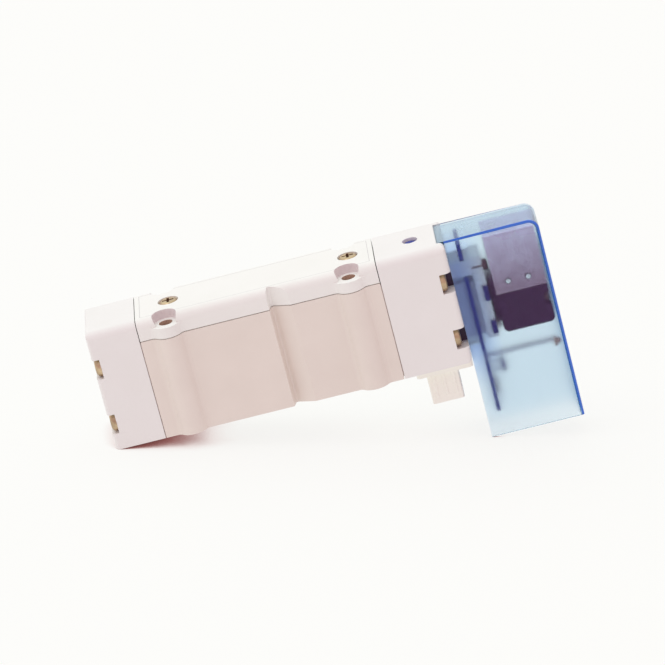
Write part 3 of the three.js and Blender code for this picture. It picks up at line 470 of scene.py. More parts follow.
# The tinted cover's look, with places in mm and roughness from clear to misty.
BAND_X = (48.5, 54.5)  # the band of painted shade fades out over this
BAND_BOTTOM, BAND_TOP = (-9, 2), (24, 28)
MIST_TOP = (21, 27)  # the inner faces clear up over this
MIST_LEFT = 0.3  # how much of the mist they keep above it
MISTY, CLEAR = (0.68, 0.74), (0.06, 0.10)
# the cover's own pale tint, and the deeper blue of the painted shade beside the adapter
PALE_TINT, BAND_SHADE_COLOUR = (0.98, 0.985, 1.0), (0.72, 0.80, 1.0)
TINT_SPECULAR = (1.0, 0.35, 1.0, 1.0)
TINT_COLOUR, TINT_DENSITY = (0.0, 0.50, 0.78, 1.0), 250.0
INNER_CORNER_SUM = 98.0  # X plus Z is below this inside the rounded corner


def shade_band_share(tree, x, z):
    """1 in the band of painted shade beside the adapter, a deeper blue, fading to 0 around it."""
    upright = product(tree, span(tree, z, BAND_BOTTOM[0] * MM, BAND_BOTTOM[1] * MM),
                      span(tree, z, BAND_TOP[0] * MM, BAND_TOP[1] * MM, 1, 0))
    return product(tree, span(tree, x, BAND_X[0] * MM, BAND_X[1] * MM, 1, 0), upright)


def inner_share(tree, x, y, z):
    """1 on the cover's inner faces, less near its top, and 0 on the outer faces."""
    half_wall = COVER_WALL / 2
    corner = below(tree, compute(tree, "ADD", x, z), INNER_CORNER_SUM)
    under_top = product(tree, below(tree, z, COVER_TOP - half_wall), corner)
    behind_end = product(tree, below(tree, x, COVER_RIGHT - half_wall), under_top)
    between_sides = below(tree, compute(tree, "ABSOLUTE", y), COVER_HALF - half_wall)
    inside = product(tree, between_sides, behind_end)
    fade = span(tree, z, MIST_TOP[0] * MM, MIST_TOP[1] * MM, 1, MIST_LEFT)
    return product(tree, inside, fade)


def tinted_plastic():
    """See-through light-blue plastic, misty, with a band of painted shade in deeper blue beside the
    adapter.
    """
    material, tree, shader = new_material("tinted_cover", Transmission_Weight=1.0, IOR=1.3,
                                          Specular_IOR_Level=0.2, Specular_Tint=TINT_SPECULAR)
    x, y, z = row_axes(tree)
    mist = texture(tree, "ShaderNodeTexNoise", Scale=160.0, Detail=2.0)
    inside = inner_share(tree, x, y, z)
    outside = compute(tree, "SUBTRACT", 1.0, inside)
    misty = span(tree, mist.outputs["Fac"], *NOISE_RANGE, *MISTY)
    clear = span(tree, mist.outputs["Fac"], *NOISE_RANGE, *CLEAR)
    both = compute(tree, "ADD", product(tree, inside, misty), product(tree, outside, clear))
    # painted shade: deeper blue in the band where the adapter shades the cover
    tint = blend_colours(tree, shade_band_share(tree, x, z), PALE_TINT, BAND_SHADE_COLOUR)
    feed(tree, shader, Base_Color=tint, Roughness=both)
    volume = tree.nodes.new("ShaderNodeVolumeAbsorption")
    feed(tree, volume, Color=TINT_COLOUR, Density=TINT_DENSITY)
    feed(tree, tree.nodes["Material Output"], Volume=volume.outputs["Volume"])
    return material


TINTED = tinted_plastic()


def paint(obj, material, inside):
    """Gives a second material to the faces whose middle passes a test, in mm."""
    obj.data.materials.append(material)
    for face in obj.data.polygons:
        if inside(*(face.center / MM)):
            face.material_index = len(obj.data.materials) - 1


def in_hole(x, y, z):
    """Whether a point lies on the wall of a mounting hole."""
    reach = math.hypot(abs(x) - HOLE_X, abs(y) - HOLE_Y)
    return reach < HOLE_RADIUS + 0.05 and 0.5 < z < SEAT_Z - 0.1


def behind_head(x, y, z):
    """Whether a point lies on the inner wall of one of the adapter's screw pockets."""
    wall = END_SCREW_Y - HEAD_RADIUS - HEAD_ROOM
    return abs(abs(y) - wall) < 0.05 and x > ADAPTER_SEAT and 0 < z < HEIGHT - 2


def on_counterbore(x, y, z):
    """Whether a point lies on the wall above a mounting hole's seat."""
    reach = math.hypot(abs(x) - HOLE_X, abs(y) - HOLE_Y)
    return COUNTERBORE - 0.1 < reach < COUNTERBORE + 0.05 and SEAT_Z + 0.1 < z < HEIGHT - 0.1


# -------------------- castings
def column_points(centre):
    """A half-round column on the long side, with a fillet at each foot."""
    rise = HALF_WIDTH + COLUMN_FILLET - HOLE_Y
    reach = math.sqrt((COLUMN_RADIUS + COLUMN_FILLET) ** 2 - rise ** 2)
    lean = math.degrees(math.atan2(rise, reach))
    fillet_y = -HALF_WIDTH - COLUMN_FILLET
    return [
        *arc((centre - reach, fillet_y), COLUMN_FILLET, 90, lean, 10),
        *arc((centre, -HOLE_Y), COLUMN_RADIUS, 180 + lean, 360 - lean, 30)[1:],
        *arc((centre + reach, fillet_y), COLUMN_FILLET, 180 - lean, 90, 10)[1:],
    ]


def groove_points():
    """The groove in the long side: steep on its left, running out slowly to the right."""
    floor = -HALF_WIDTH + GROOVE_DEPTH
    a = (GROOVE_LEFT + 0.5, floor - 0.4)
    b = (GROOVE_LEFT + 0.7, floor + 0.35)
    c = (GROOVE_LEFT + 1.8, floor - 0.5)
    steps = 12
    bend = []
    for i in range(steps + 1):
        t = i / steps
        bend.append(tuple((1 - t) ** 2 * p + 2 * t * (1 - t) * q + t * t * r
                          for p, q, r in zip(a, b, c)))
    return [(GROOVE_LEFT, -HALF_WIDTH), *bend, (GROOVE_RIGHT, -HALF_WIDTH)]


def plan_outline(with_columns):
    near = [
        (-BODY_END, -HALF_WIDTH),
        *(column_points(-HOLE_X) if with_columns else []),
        *groove_points(),
        *(column_points(HOLE_X) if with_columns else []),
        (BODY_END, -HALF_WIDTH),
    ]
    return near + [(x, -y) for x, y in reversed(near)]


def rounded_top(bottom):
    inner = HALF_WIDTH - EDGE_RADIUS
    top = HEIGHT - EDGE_RADIUS
    return [(-HALF_WIDTH, bottom), (HALF_WIDTH, bottom),
            *arc((inner, top), EDGE_RADIUS, 0, 90, 12),
            *arc((-inner, top), EDGE_RADIUS, 90, 180, 12)]


def mounting_holes(radius, low, high, sides=ROUND):
    return [rod("z", (x, y), radius, low, high, sides)
            for x in (-HOLE_X, HOLE_X) for y in (-HOLE_Y, HOLE_Y)]


def end_places():
    return [(f"{name}_{level}", side * END_SCREW_Y, z, side)
            for name, side in SIDES.items() for level, z in END_SCREW_Z.items()]


def end_holes(low, high):
    return [rod("x", (y, z), SCREW_HOLE, low, high, SMALL) for _, y, z, _ in end_places()]


def gasket_shape(grow, low, high):
    """The moulded ladder around the ports, grown by a clearance where it is a recess."""
    half_length, half_width, outer_corner, inner_corner = 17.6, 6.8, 1.6, 0.5
    window_x, window_y, middle_x = 2.6, 5.6, 2.7
    windows = [((x - window_x, x + window_x), (-window_y, window_y)) for x in PORT_X]
    windows += [((-middle_x, middle_x), ys) for ys in ((2.6, 6.1), (-5.9, 1.8))]
    reach_x, reach_y = half_length + grow, half_width + grow
    outer = prism("z", rounded((-reach_x, reach_x), (-reach_y, reach_y), outer_corner), low, high)
    inner = [rounded((x0 + grow, x1 - grow), (y0 + grow, y1 - grow), inner_corner)
             for (x0, x1), (y0, y1) in windows]
    return combine(outer, [prism("z", window, low - PAST, high + PAST) for window in inner])


def feed_passages():
    """The pilot's air passages: up from the bore, along a channel and out at the right."""
    start, end, bottom, cover, channel = 0.8, BODY_END - 3.5, 17, 0.5, 1.2
    r = FEED_RADIUS
    return [
        rod("z", (start, FEED_Y), r, bottom, BODY_TOP - cover, SMALL),
        box((start - r, end + r), (FEED_Y - r, FEED_Y + r), (BODY_TOP - channel, BODY_TOP + PAST)),
        rod("z", (end, FEED_Y), r, FEED_Z, BODY_TOP - cover, SMALL),
        rod("x", (FEED_Y, FEED_Z), r, end, BODY_END + PAST, SMALL),
    ]


def valve_body():
    bore, port_x, port_y, port_corner, port_top = 5.7, 1.9, 3.4, 1.2, 11
    supply_x, supply_ys, supply_corner, supply_top = 2.2, (3, 5.8), 1.1, 12
    plate_hole_bottom, end_hole_start = 20.65, 24.9
    ports = [prism("z", rounded((x - port_x, x + port_x), (-port_y, port_y), port_corner),
                   -PAST, port_top) for x in PORT_X]
    supply = prism("z", rounded((-supply_x, supply_x), supply_ys, supply_corner), -PAST, supply_top)
    return combine(prism("z", plan_outline(True), 0, BODY_TOP), [
        rod("x", (0, SPOOL_Z), bore, -BODY_END - PAST, BODY_END + PAST),
        *mounting_holes(HOLE_RADIUS, -PAST, HEIGHT),
        *[rod("z", at, SCREW_HOLE, plate_hole_bottom, HEIGHT, SMALL)
          for at in PLATE_SCREWS.values()],
        *end_holes(end_hole_start, BODY_END + PAST),
        *end_holes(-BODY_END - PAST, -end_hole_start),
        *ports, supply, *feed_passages(), gasket_shape(0.1, -PAST, 1),
    ])


def top_plate():
    roof = combine(prism("x", rounded_top(PLATE_BOTTOM), -BODY_END, BODY_END),
                   [prism("z", plan_outline(False), PLATE_BOTTOM - PAST, HEIGHT + PAST)],
                   "INTERSECT")
    skirt = prism("z", plan_outline(True), PLATE_BOTTOM, SEAT_Z)
    cutters = mounting_holes(COUNTERBORE, SEAT_Z, HEIGHT + PAST, FINE)
    cutters += mounting_holes(HOLE_RADIUS, 0, HEIGHT)
    for at in PLATE_SCREWS.values():
        cutters.append(rod("z", at, SCREW_HOLE, 0, HEIGHT + PAST, SMALL))
        cutters.append(rod("z", at, HEAD_RADIUS + 0.2, PLATE_SCREW_SEAT, HEIGHT + PAST))
    return combine(join(roof, [skirt]), cutters)


def end_block(xs, radius, outwards):
    """Block that caps one end of the body, rounded along its top and its outer corners."""
    unrounded = 5  # carries the outline past the inner end, whose corners stay sharp
    low = xs[0] - (unrounded if outwards > 0 else 0)
    high = xs[1] + (unrounded if outwards < 0 else 0)
    plan = rounded((low, high), (-HALF_WIDTH, HALF_WIDTH), radius)
    side = rounded((0, HEIGHT), (low, high), radius)
    return combine(prism("x", rounded_top(0), *xs), [
        prism("z", plan, -PAST, HEIGHT + PAST),
        prism("y", side, -HALF_WIDTH - PAST, HALF_WIDTH + PAST),
    ], "INTERSECT")


def head_pockets(low, high):
    """Open pockets for the four screw heads at one end."""
    reach = HEAD_RADIUS + 0.15
    pockets = []
    for _, y, z, side in end_places():
        inner = y - side * (HEAD_RADIUS + HEAD_ROOM)
        outer = side * (HALF_WIDTH + PAST)
        pockets.append(box((low, high), sorted((inner, outer)), (z - reach, z + reach)))
    return pockets


def end_cover():
    corner, bore, bore_start = 0.9, 4.7, VALVE_LEFT + 1.3
    return combine(end_block((VALVE_LEFT, -SEAM_END), corner, -1), [
        rod("x", (0, SPOOL_Z), bore, bore_start, -SEAM_END + PAST),
        *end_holes(VALVE_LEFT - PAST, 0), *head_pockets(VALVE_LEFT - PAST, END_SEAT),
    ])


def pilot_adapter():
    corner, bore, override_bore, bleed = 1.3, 6.2, 1.9, 0.5
    block_hole, block_hole_start = 0.9, 41.6
    slot_start, slot_half, slot_top = 34.5, 4.5, 3.2
    right = ADAPTER_RIGHT + PAST
    lip, lip_half, lip_floor = COVER_LIP - 0.1, COVER_HALF + 0.1, COVER_TOP - COVER_WALL - 0.1
    return combine(end_block((SEAM_END, ADAPTER_RIGHT), corner, 1), [
        rod("x", (0, SPOOL_Z), bore, SEAM_END - PAST, PISTON_BORE_END),
        *end_holes(0, ADAPTER_RIGHT), *head_pockets(ADAPTER_SEAT, right),
        rod("z", (OVERRIDE_X, 0), override_bore, OVERRIDE_FLOOR, HEIGHT + PAST),
        rod("z", (OVERRIDE_X, 0), bleed, SPOOL_Z, OVERRIDE_FLOOR + PAST, SMALL),
        rod("x", (FEED_Y, FEED_Z), FEED_RADIUS, 0, right, SMALL),
        rod("x", (0, AIR_PORT_Z), AIR_PORT_RADIUS, PISTON_BORE_END - PAST, right, SMALL),
        *[rod("x", at, block_hole, block_hole_start, right, SMALL) for at in BLOCK_SCREWS.values()],
        box((slot_start, right), (-slot_half, slot_half), (-PAST, slot_top)),
        box((lip, right), (-lip_half, lip_half), (lip_floor, HEIGHT + PAST)),
    ])


# -------------------- screws
def pan_screw(length):
    """Pan-head screw with a cross recess: seat at 0, shank towards -Z, in mm."""
    shank, tip, chamfer, dome = 1.2, 0.9, 0.4, 1.0
    curve = arc((HEAD_HEIGHT - dome, HEAD_RADIUS - dome), dome, 90, 12, 8)
    head = turned("z", (0, 0), [
        (-length, 0), (-length, tip), (-length + chamfer, shank), (0, shank), (0, HEAD_RADIUS),
        *curve, (HEAD_HEIGHT, 0)], 48)
    floor = 0.3 * HEAD_HEIGHT
    narrow, long = 0.3, RECESS_REACH - 0.1
    arms = [box((-x, x), (-y, y), (floor, HEAD_HEIGHT + PAST))
            for x, y in ((narrow, long), (long, narrow))]
    return combine(head, arms)


def add_pan_screw(node, length, seat, turn):
    """A yellow-plated screw, turned from +Z about Y by an angle in degrees."""
    shape = pan_screw(length)
    where = Matrix.Translation(Vector(seat) * MM) @ Matrix.Rotation(math.radians(turn), 4, "Y")
    bmesh.ops.transform(shape, matrix=where, verts=shape.verts)
    screw = finish_piece(node, shape, YELLOW, SMALL_EDGE, segments=2)
    back = where.inverted()

    def in_recess(*point):
        x, y, z = back @ (Vector(point) * MM) / MM
        return math.hypot(x, y) < RECESS_REACH and 0.4 < z < HEAD_HEIGHT - 0.1

    paint(screw, RECESS, in_recess)


def small_screw(length, seat):
    """Small slotted screw along +X, its seat at the given point."""
    x, y, z = seat
    shank, tip, chamfer, head, height, edge, slot = 0.7, 0.5, 0.3, 1.35, 1.15, 0.35, 0.2
    curve = arc((0, 0), edge, 90, 0, 6)
    screw = turned("x", (y, z), [
        (x - length, 0), (x - length, tip), (x - length + chamfer, shank), (x, shank), (x, head),
        *[(x + height - edge + a, head - edge + b) for a, b in curve], (x + height, 0)], ROUND)
    return combine(screw, [box((x + 0.6, x + 2), (y - 2, y + 2), (z - slot, z + slot))])


PLATE_SCREW_LENGTH, END_SCREW_LENGTH, ADAPTER_SCREW_LENGTH = 8.2, 15, 18.4
BLOCK_SCREW_LENGTH, PILOT_SCREW_LENGTH = 12.2, 15.2


def add_screws():
    for name, at in PLATE_SCREWS.items():
        add_pan_screw(f"top_plate_screw_{name}", PLATE_SCREW_LENGTH, (*at, PLATE_SCREW_SEAT), 0)
    for name, y, z, _ in end_places():
        add_pan_screw(f"end_cover_screw_{name}", END_SCREW_LENGTH, (END_SEAT, y, z), -90)
        add_pan_screw(f"adapter_screw_{name}", ADAPTER_SCREW_LENGTH, (ADAPTER_SEAT, y, z), 90)
    for name, at in BLOCK_SCREWS.items():
        screw = small_screw(BLOCK_SCREW_LENGTH, (BLOCK_SCREW_SEAT, *at))
        finish_piece(f"block_screw_{name}", screw, DARK_SCREW, FINE_EDGE)
    for name, at in PILOT_SCREWS.items():
        screw = small_screw(PILOT_SCREW_LENGTH, (PILOT_SCREW_SEAT, *at))
        finish_piece(f"pilot_screw_{name}", screw, DARK_SCREW, FINE_EDGE)


# -------------------- springs, lengths in mm
def helix(axis, centre, radius, wire, low, high, turns):
    """A coil spring with closed, flattened end turns."""
    steps_per_turn, sides, gap = 28, 12, 0.05
    end_share, lead = 0.1, 0.06  # each end's share of the turns, and of the rise
    steps = int(turns * steps_per_turn)
    start, end = low + wire / 2 + gap, high - wire / 2 - gap
    path = []
    for i in range(steps + 1):
        t = i / steps
        rise = min(max((t - end_share) / (1 - 2 * end_share), 0), 1)
        angle = 2 * math.pi * turns * t
        path.append((centre[0] + radius * math.cos(angle), centre[1] + radius * math.sin(angle),
                     start + (end - start) * (lead * t + (1 - lead) * rise)))
    points = [place(axis, *p) for p in path]
    middle = place(axis, *centre, 0)
    along = place(axis, 0, 0, 1).normalized()
    rings = []
    for i, point in enumerate(points):
        ahead = points[min(i + 1, steps)] - points[max(i - 1, 0)]
        outward = point - middle
        outward = (outward - along * outward.dot(along)).normalized()
        across = ahead.normalized().cross(outward).normalized()
        rings.append([point + (outward * math.cos(a) + across * math.sin(a)) * wire / 2 * MM
                      for a in [2 * math.pi * k / sides for k in range(sides)]])
    return shell(rings)


def add_spring(node, joint, axis, centre, size, span_mm, turns, anchor, keep):
    """A steel coil spring between two places along an axis; the joint, the anchor and the share
    kept are not used.
    """
    radius, wire = size
    spring = finish_piece(node, helix(axis, centre, radius, wire, *span_mm, turns), STEEL, 0)
    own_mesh(spring)


# node, joint, axis, centre, (coil radius, wire), (low, high), turns, anchor, share kept
SPRINGS = (
    ("return_spring", "spool_slide", "x", (0, SPOOL_Z), (3.2, 0.55),
     (-40.7, -33.4), 5, -40.7, 0.42),
    ("override_spring", "override_push", "z", (OVERRIDE_X, 0), (1.2, 0.35),
     (OVERRIDE_FLOOR, 24.4), 4, OVERRIDE_FLOOR, 0.64),
    ("plunger_spring", "plunger_lift", "z", (PILOT_X, 0), (0.95, 0.3),
     (18.6, 21.95), 5, 21.95, 0.85),
)


# -------------------- connector and override
def connector_housing():
    left, right, middle, bottom, lap = 34.7, 42.5, 38.6, -10, -1.9
    half, wall, rib, rib_bottom, slot, socket_top = 5.5, 1.2, 0.35, -8.4, 0.45, -3.2
    flange_x, flange_y, flange_bottom = (32.4, 46.3), (-7.5, 7.5), -2
    rib_step, contact_step = 2.4, 3
    within = (-half + wall, half - wall)
    flange = prism("z", rounded(flange_x, flange_y, 0.8), flange_bottom, 0)
    body = prism("z", rounded((left, right), (-half, half), 0.5), bottom, lap)
    ribs = [box((x - rib, x + rib), (-half - 0.15, half + 0.15), (rib_bottom, lap))
            for x in (middle - rib_step, middle, middle + rib_step)]
    tongue = box((left, right), within, (-0.1, wall))
    slots = [box((middle - slot, middle + slot), (y - slot, y + slot),
                 (socket_top - PAST, wall + PAST)) for y in (-contact_step, 0, contact_step)]
    socket = box((left + wall, right - wall), within, (bottom - PAST, socket_top))
    return combine(join(flange, [body, *ribs, tongue]), [socket, *slots])


def override_button():
    """Slotted button with a groove for its ring seal."""
    x, bottom, top, radius, edge = OVERRIDE_X, 24.4, 29.8, 1.75, 0.25
    groove_low, groove_high, groove_radius, chamfer, slot = 26.2, 27, 1.2, 0.2, 0.25
    button = turned("z", (x, 0), [
        (bottom, 0), (bottom, radius - chamfer), (bottom + chamfer, radius), (groove_low, radius),
        (groove_low, groove_radius), (groove_high, groove_radius), (groove_high, radius),
        *[(top - edge + a, radius - edge + b) for a, b in arc((0, 0), edge, 90, 0, 6)], (top, 0)])
    return combine(button, [box((x - 1.2, x + 1.2), (-slot, slot), (top - 0.5, top + 1.2))])


# -------------------- pilot solenoid
def pilot_body():
    """Housing under the coil, with rounded lower corners and two notched screw seats."""
    left, right, bottom, top, half, corner = 55.7, 68.3, 3.6, 13.3, 5, 1.3
    chamber, chamber_low, seat, seat_bore, screw_hole, notch = 2.3, 10.2, 0.95, 0.4, 0.8, 1.5
    exhaust_z, exhaust_radius, far = 8.2, 0.6, 70
    ways = ((AIR_PORT_Z, AIR_PORT_RADIUS), (exhaust_z, exhaust_radius))
    face = box((54.8, 56.5), (-4.3, 4.3), (6.6, 17.6))
    outline = [(top, left), (top, right),
               *arc((bottom + corner, right - corner), corner, 90, 180, 8),
               *arc((bottom + corner, left + corner), corner, 180, 270, 8)]
    block = join(prism("y", outline, -half, half), [face])
    notches = [box((PILOT_SCREW_SEAT, far), sorted((side * (half + PAST), y - side * 1.6)),
                   (z - notch, z + notch))
               for side, (y, z) in zip((-1, 1), PILOT_SCREWS.values())]
    bored = combine(block, [
        rod("z", (PILOT_X, 0), chamber, chamber_low, top + PAST),
        *[rod("x", (0, z), radius, 53.8, PILOT_X, SMALL) for z, radius in ways], *notches,
        *[rod("x", at, screw_hole, 50, far, SMALL) for at in PILOT_SCREWS.values()],
    ])
    seated = join(bored, [rod("z", (PILOT_X, 0), seat, chamber_low - 0.2, 11.1, SMALL)])
    return combine(seated, [rod("z", (PILOT_X, 0), seat_bore, exhaust_z, AIR_PORT_Z, SMALL)])


def pilot_yoke():
    """Sheet bent over the coil: a front, a top and a back, open to both ends."""
    low, high, half, sheet, bend, inner_bend = 13.5, 28.8, 5.2, 1.0, 0.8, 0.3
    inner = half - sheet
    ceiling = high - sheet - inner_bend
    outline = [(-half, low), (-inner, low),
               *arc((-inner + inner_bend, ceiling), inner_bend, 180, 90, 4),
               *arc((inner - inner_bend, ceiling), inner_bend, 90, 0, 4),
               (inner, low), (half, low),
               *arc((half - bend, high - bend), bend, 0, 90, 8),
               *arc((-half + bend, high - bend), bend, 90, 180, 8)]
    holes = [rod("y", (TERMINAL_Z, x), 0.8, -6.2, -4.1, SMALL) for x in TERMINAL_X]
    return combine(prism("x", outline, 55.8, 68.3), holes)


def coil_winding():
    """Layers of wire seen as rows of small ridges."""
    low, high, inside, outside, wire = 17.25, 26.65, 2.75, 4.0, 0.235
    ridge = outside - wire / 2
    rows = int((high - low) / wire)
    profile = [(low, inside), (low, ridge)]
    for row in range(rows):
        centre = low + (row + 0.5) * (high - low) / rows
        profile += arc((centre, ridge), wire / 2, 150, 30, 4)
    profile += [(high, ridge), (high, inside)]
    rings = [[place("z", u, v, along) for u, v in circle((PILOT_X, 0), radius, 48)]
             for along, radius in profile]
    return shell(rings, closed=True)


def pilot_cover():
    """Open box with a tongue at its top: no floor and no wall towards the adapter."""
    def outline(left, inset):
        right, top, radius = COVER_RIGHT - inset, COVER_TOP - inset, COVER_CORNER - inset
        bottom = COVER_BOTTOM - inset
        corner = arc((right - radius, top - radius), radius, 0, 90, 16)
        return [(z, x) for x, z in [(left, bottom), (right, bottom), *corner, (left, top)]]

    inner = COVER_HALF - COVER_WALL
    tongue_half = COVER_HALF - 0.05
    outside = prism("y", outline(COVER_LEFT, 0), -COVER_HALF, COVER_HALF)
    inside = prism("y", outline(0, COVER_WALL), -inner, inner)
    tongue = box((COVER_LIP, 47), (-tongue_half, tongue_half), (COVER_TOP - COVER_WALL, COVER_TOP))
    return join(combine(outside, [inside]), [tongue])


def add_cover():
    """The cover's long outer edges get a deep blue: partly the tint, partly painted light for the
    light carried along the walls.
    """
    shape = pilot_cover()
    weight = shape.edges.layers.float.new("bevel_weight_edge")
    for edge in shape.edges:
        x, y, z = (edge.verts[0].co + edge.verts[1].co) / 2 / MM
        on_face = abs(y) > COVER_HALF - 0.01
        outer = z > COVER_TOP - COVER_CORNER or x > COVER_RIGHT - COVER_CORNER
        if on_face and outer and x > COVER_LEFT + 0.1 and z > COVER_BOTTOM + 0.1:
            edge[weight] = 1
    cover = finish_piece("pilot_cover", shape, TINTED, 0)
    cover.data.materials.append(TINT_AND_EDGE_LIGHT)
    long_edges = cover.modifiers.new("long_edges", "BEVEL")
    long_edges.width, long_edges.segments, long_edges.material = COVER_EDGE * MM, 3, 1
    long_edges.limit_method, long_edges.use_clamp_overlap = "WEIGHT", False
    other_edges = cover.modifiers.new("other_edges", "BEVEL")
    other_edges.width, other_edges.segments = COVER_SOFT_EDGE * MM, 2
    other_edges.limit_method, other_edges.angle_limit = "ANGLE", math.radians(40)
    normals, last = 0, 2
    cover.modifiers.move(normals, last)


def board_part(ys, zs, leg_gap, leg_half, height, thickness):
    """A body on two short legs, soldered to the circuit board's pilot side."""
    middle_y, middle_z = sum(ys) / 2, sum(zs) / 2
    body_low = BOARD_FACE + height
    lap = 0.1
    legs = [box((BOARD_FACE, body_low + lap), (middle_y - leg_half, middle_y + leg_half),
                (middle_z + side * leg_gap - leg_half, middle_z + side * leg_gap + leg_half))
            for side in (-1, 1)]
    return join(prism("x", rounded(ys, zs, 0.3), body_low, body_low + thickness), legs)


def indicator_lamp():
    """A domed lens on a square foot, at the end of the lamp's board."""
    y, z, foot, base, radius, rim, rise = -3.4, -2.1, 66.65, 67.3, 0.85, 0.3, 0.8
    lens = turned("x", (y, z), [
        (base - 0.1, 0), (base - 0.1, radius), (base + rim, radius),
        *[(base + rim + rise * math.sin(math.radians(a)), radius * math.cos(math.radians(a)))
          for a in (15, 30, 45, 60, 75)], (base + rim + rise, 0)], ROUND)
    return join(box((foot, base), (y - 1, y + 1), (z - 1, z + 1)), [lens])


def terminal_pin(x):
    """A solder pin along Y with a domed, collared end."""
    end, dome, flat, collar, pin, depth = -5.4, 0.2, 0.46, 0.66, 0.44, -3.3
    return turned("y", (TERMINAL_Z, x), [
        (end - dome, 0), *[(end - dome * math.sin(a), flat + dome * math.cos(a))
                           for a in (1.5, 1.2, 0.9, 0.6, 0.3, 0)],
        (end + 0.15, collar), (end + 0.25, pin), (depth, pin), (depth, 0)], 32)


# ys, zs, leg gap, half a leg's width, height over the board, thickness
DIODE_SHAPE = ((-1.4, 1.4), (-7.2, -4.1), 1, 0.16, 2.6, 1.2)
RESISTOR_SHAPE = ((1, 3.8), (-13.4, -9.4), 1.6, 0.3, 0.2, 0.6)


def add_pilot():
    finish_piece("pilot_body", pilot_body(), BLACK)
    finish_piece("pilot_yoke", pilot_yoke(), YOKE, 0.08)
    finish_piece("coil_winding", coil_winding(), COPPER, 0)
    finish_piece("surge_diode", board_part(*DIODE_SHAPE), DIODE, SMALL_EDGE)
    finish_piece("series_resistor", board_part(*RESISTOR_SHAPE), BLACK, SMALL_EDGE)
    for i, x in enumerate(TERMINAL_X, 1):
        finish_piece(f"coil_terminal_{i}", terminal_pin(x), SOLDER, 0)
    finish_piece("indicator_lamp", indicator_lamp(), LAMP, 0.05)


# -------------------- ring seals
# node, axis, centre, place along the axis, ring radius, radius of its section, sides, body
RING_SEALS = (
    *[(f"sleeve_seal_{i}", "x", (0, SPOOL_Z), 7 * station, 5.28, 0.34, FINE, ROOT)
      for i, station in enumerate((-2.5, -1.5, -0.5, 0.5, 1.5, 2.5), 1)],
    ("drive_piston_seal", "x", (0, SPOOL_Z), 38.1, 5.615, 0.525, FINE, "spool_train"),
    ("return_piston_seal", "x", (0, SPOOL_Z), -32.0, 4.115, 0.525, FINE, "spool_train"),
    ("override_seal", "z", (OVERRIDE_X, 0), 26.6, 1.55, 0.3, ROUND, "override"),
)


def add_seals():
    for node, *shape, body in RING_SEALS:
        finish_piece(node, ring(*shape), RUBBER, 0, body)


# -------------------- the object
paint(finish_piece("valve_body", valve_body(), BODY, 0.12), HOLE, in_hole)
finish_piece("base_gasket", gasket_shape(0, 0, 1), RUBBER, 0.1)
plate = finish_piece("top_plate", top_plate(), PLATE, WIDE_EDGE)
paint(plate, HOLE, in_hole)
paint(plate, SEAT, on_counterbore)
finish_piece("end_cover", end_cover(), HOUSING)
paint(finish_piece("pilot_adapter", pilot_adapter(), HOUSING), POCKET, behind_head)
finish_piece("connector_housing", connector_housing(), IVORY)
finish_piece("override_button", override_button(), BLUE, FINE_EDGE, "override")
add_screws()
for row in SPRINGS:
    add_spring(*row)
add_pilot()
add_cover()
add_seals()

# finish, width of the rounded edges in mm, nodes
KEPT_NODES = (
    (RUBBER, 0.05, "top_plate_gasket pilot_gasket plunger_seal"),
    # painted light on the seams of the end gaskets
    (SEAM_PAINTED_LIGHT, 0.05, "end_cover_gasket adapter_gasket"),
    (SLEEVE, 0.05, "spool_sleeve"),
    (BOARD, 0.05, "circuit_board"),
    (LAMP_STRIP, 0.05, "lamp_board"),
    (CONTACT, 0.08, "connector_contact_1 connector_contact_2 connector_contact_3"),
    (STEEL, 0.1, "spool pilot_core pilot_plunger"),
    (IVORY, 0.1, "drive_piston return_piston"),
    (BLOCK, 0.1, "pilot_mounting_block"),
    (BLACK, 0.1, "coil_bobbin"),
)
for finish, edge, nodes in KEPT_NODES:
    for node in nodes.split():
        dress_node(node, finish, edge)

# -------------------- camera
YAW, TILT, ELEVATION = 3.02, 13.73, 20.5
FOCAL_SHARE = 7.535  # focal length over the sensor's width
SENSOR = 36.0
CLIP = (0.05, 20)  # in metres
DISTANCE = 1214.7
AIM = Vector((17.853, 0.0, 0.0))
OFFSET_RIGHT, OFFSET_UP = 5.50, -10.51

room = (Matrix.Rotation(math.radians(YAW), 3, "Z")
        @ Matrix.Rotation(math.radians(-TILT), 3, "Y"))  # from the row frame to the room
to_row = room.transposed()
lift = math.radians(ELEVATION)
right = to_row @ Vector((1, 0, 0))
up = to_row @ Vector((0, math.sin(lift), math.cos(lift)))
back = to_row @ Vector((0, -math.cos(lift), math.sin(lift)))


def add_camera():
    data = bpy.data.cameras.new("camera")
    data.sensor_width = SENSOR
    data.lens = SENSOR * FOCAL_SHARE
    data.clip_start, data.clip_end = CLIP
    camera = new_object("camera", data)
    where = AIM + back * DISTANCE - right * OFFSET_RIGHT - up * OFFSET_UP
    turn = Matrix((right, up, back)).transposed().to_4x4()
    camera.matrix_world = Matrix.Translation(where * MM) @ turn
    bpy.context.scene.camera = camera


# -------------------- floor and light
FOOT_RADIUS = 0.9
FLOOR_SIZE = 6.0  # in metres
FLOOR_GAP = 0.00002  # between the object and the floor, in metres
CONTACT_SHADE = 9.0  # how far up the floor looks for something above it, in mm
FLOOR_LIT_SHARE = 0.15  # the rest glows by itself
# painted shadow: the floor's tones from close under the object out to clear white
FLOOR_TONES = ((0.0, (0.05, 0.008, 0.008, 1)), (0.18, (0.34, 0.13, 0.12, 1)),
               (0.40, (0.88, 0.80, 0.78, 1)), (0.62, (0.975, 0.975, 0.955, 1)))

SKY_TOP = (-0.25, 0.5, 1.0)
SKY_TOP_COLOUR = (1.28, 1.46, 1.40)
SKY_LOW_COLOUR = (0.70, 0.52, 0.56)
SKY_SEEN_COLOUR = (0.97, 0.97, 0.95)
KEY_FROM, KEY_STRENGTH, KEY_SOFTNESS = (-0.6, -0.2, 1.0), 0.35, 30


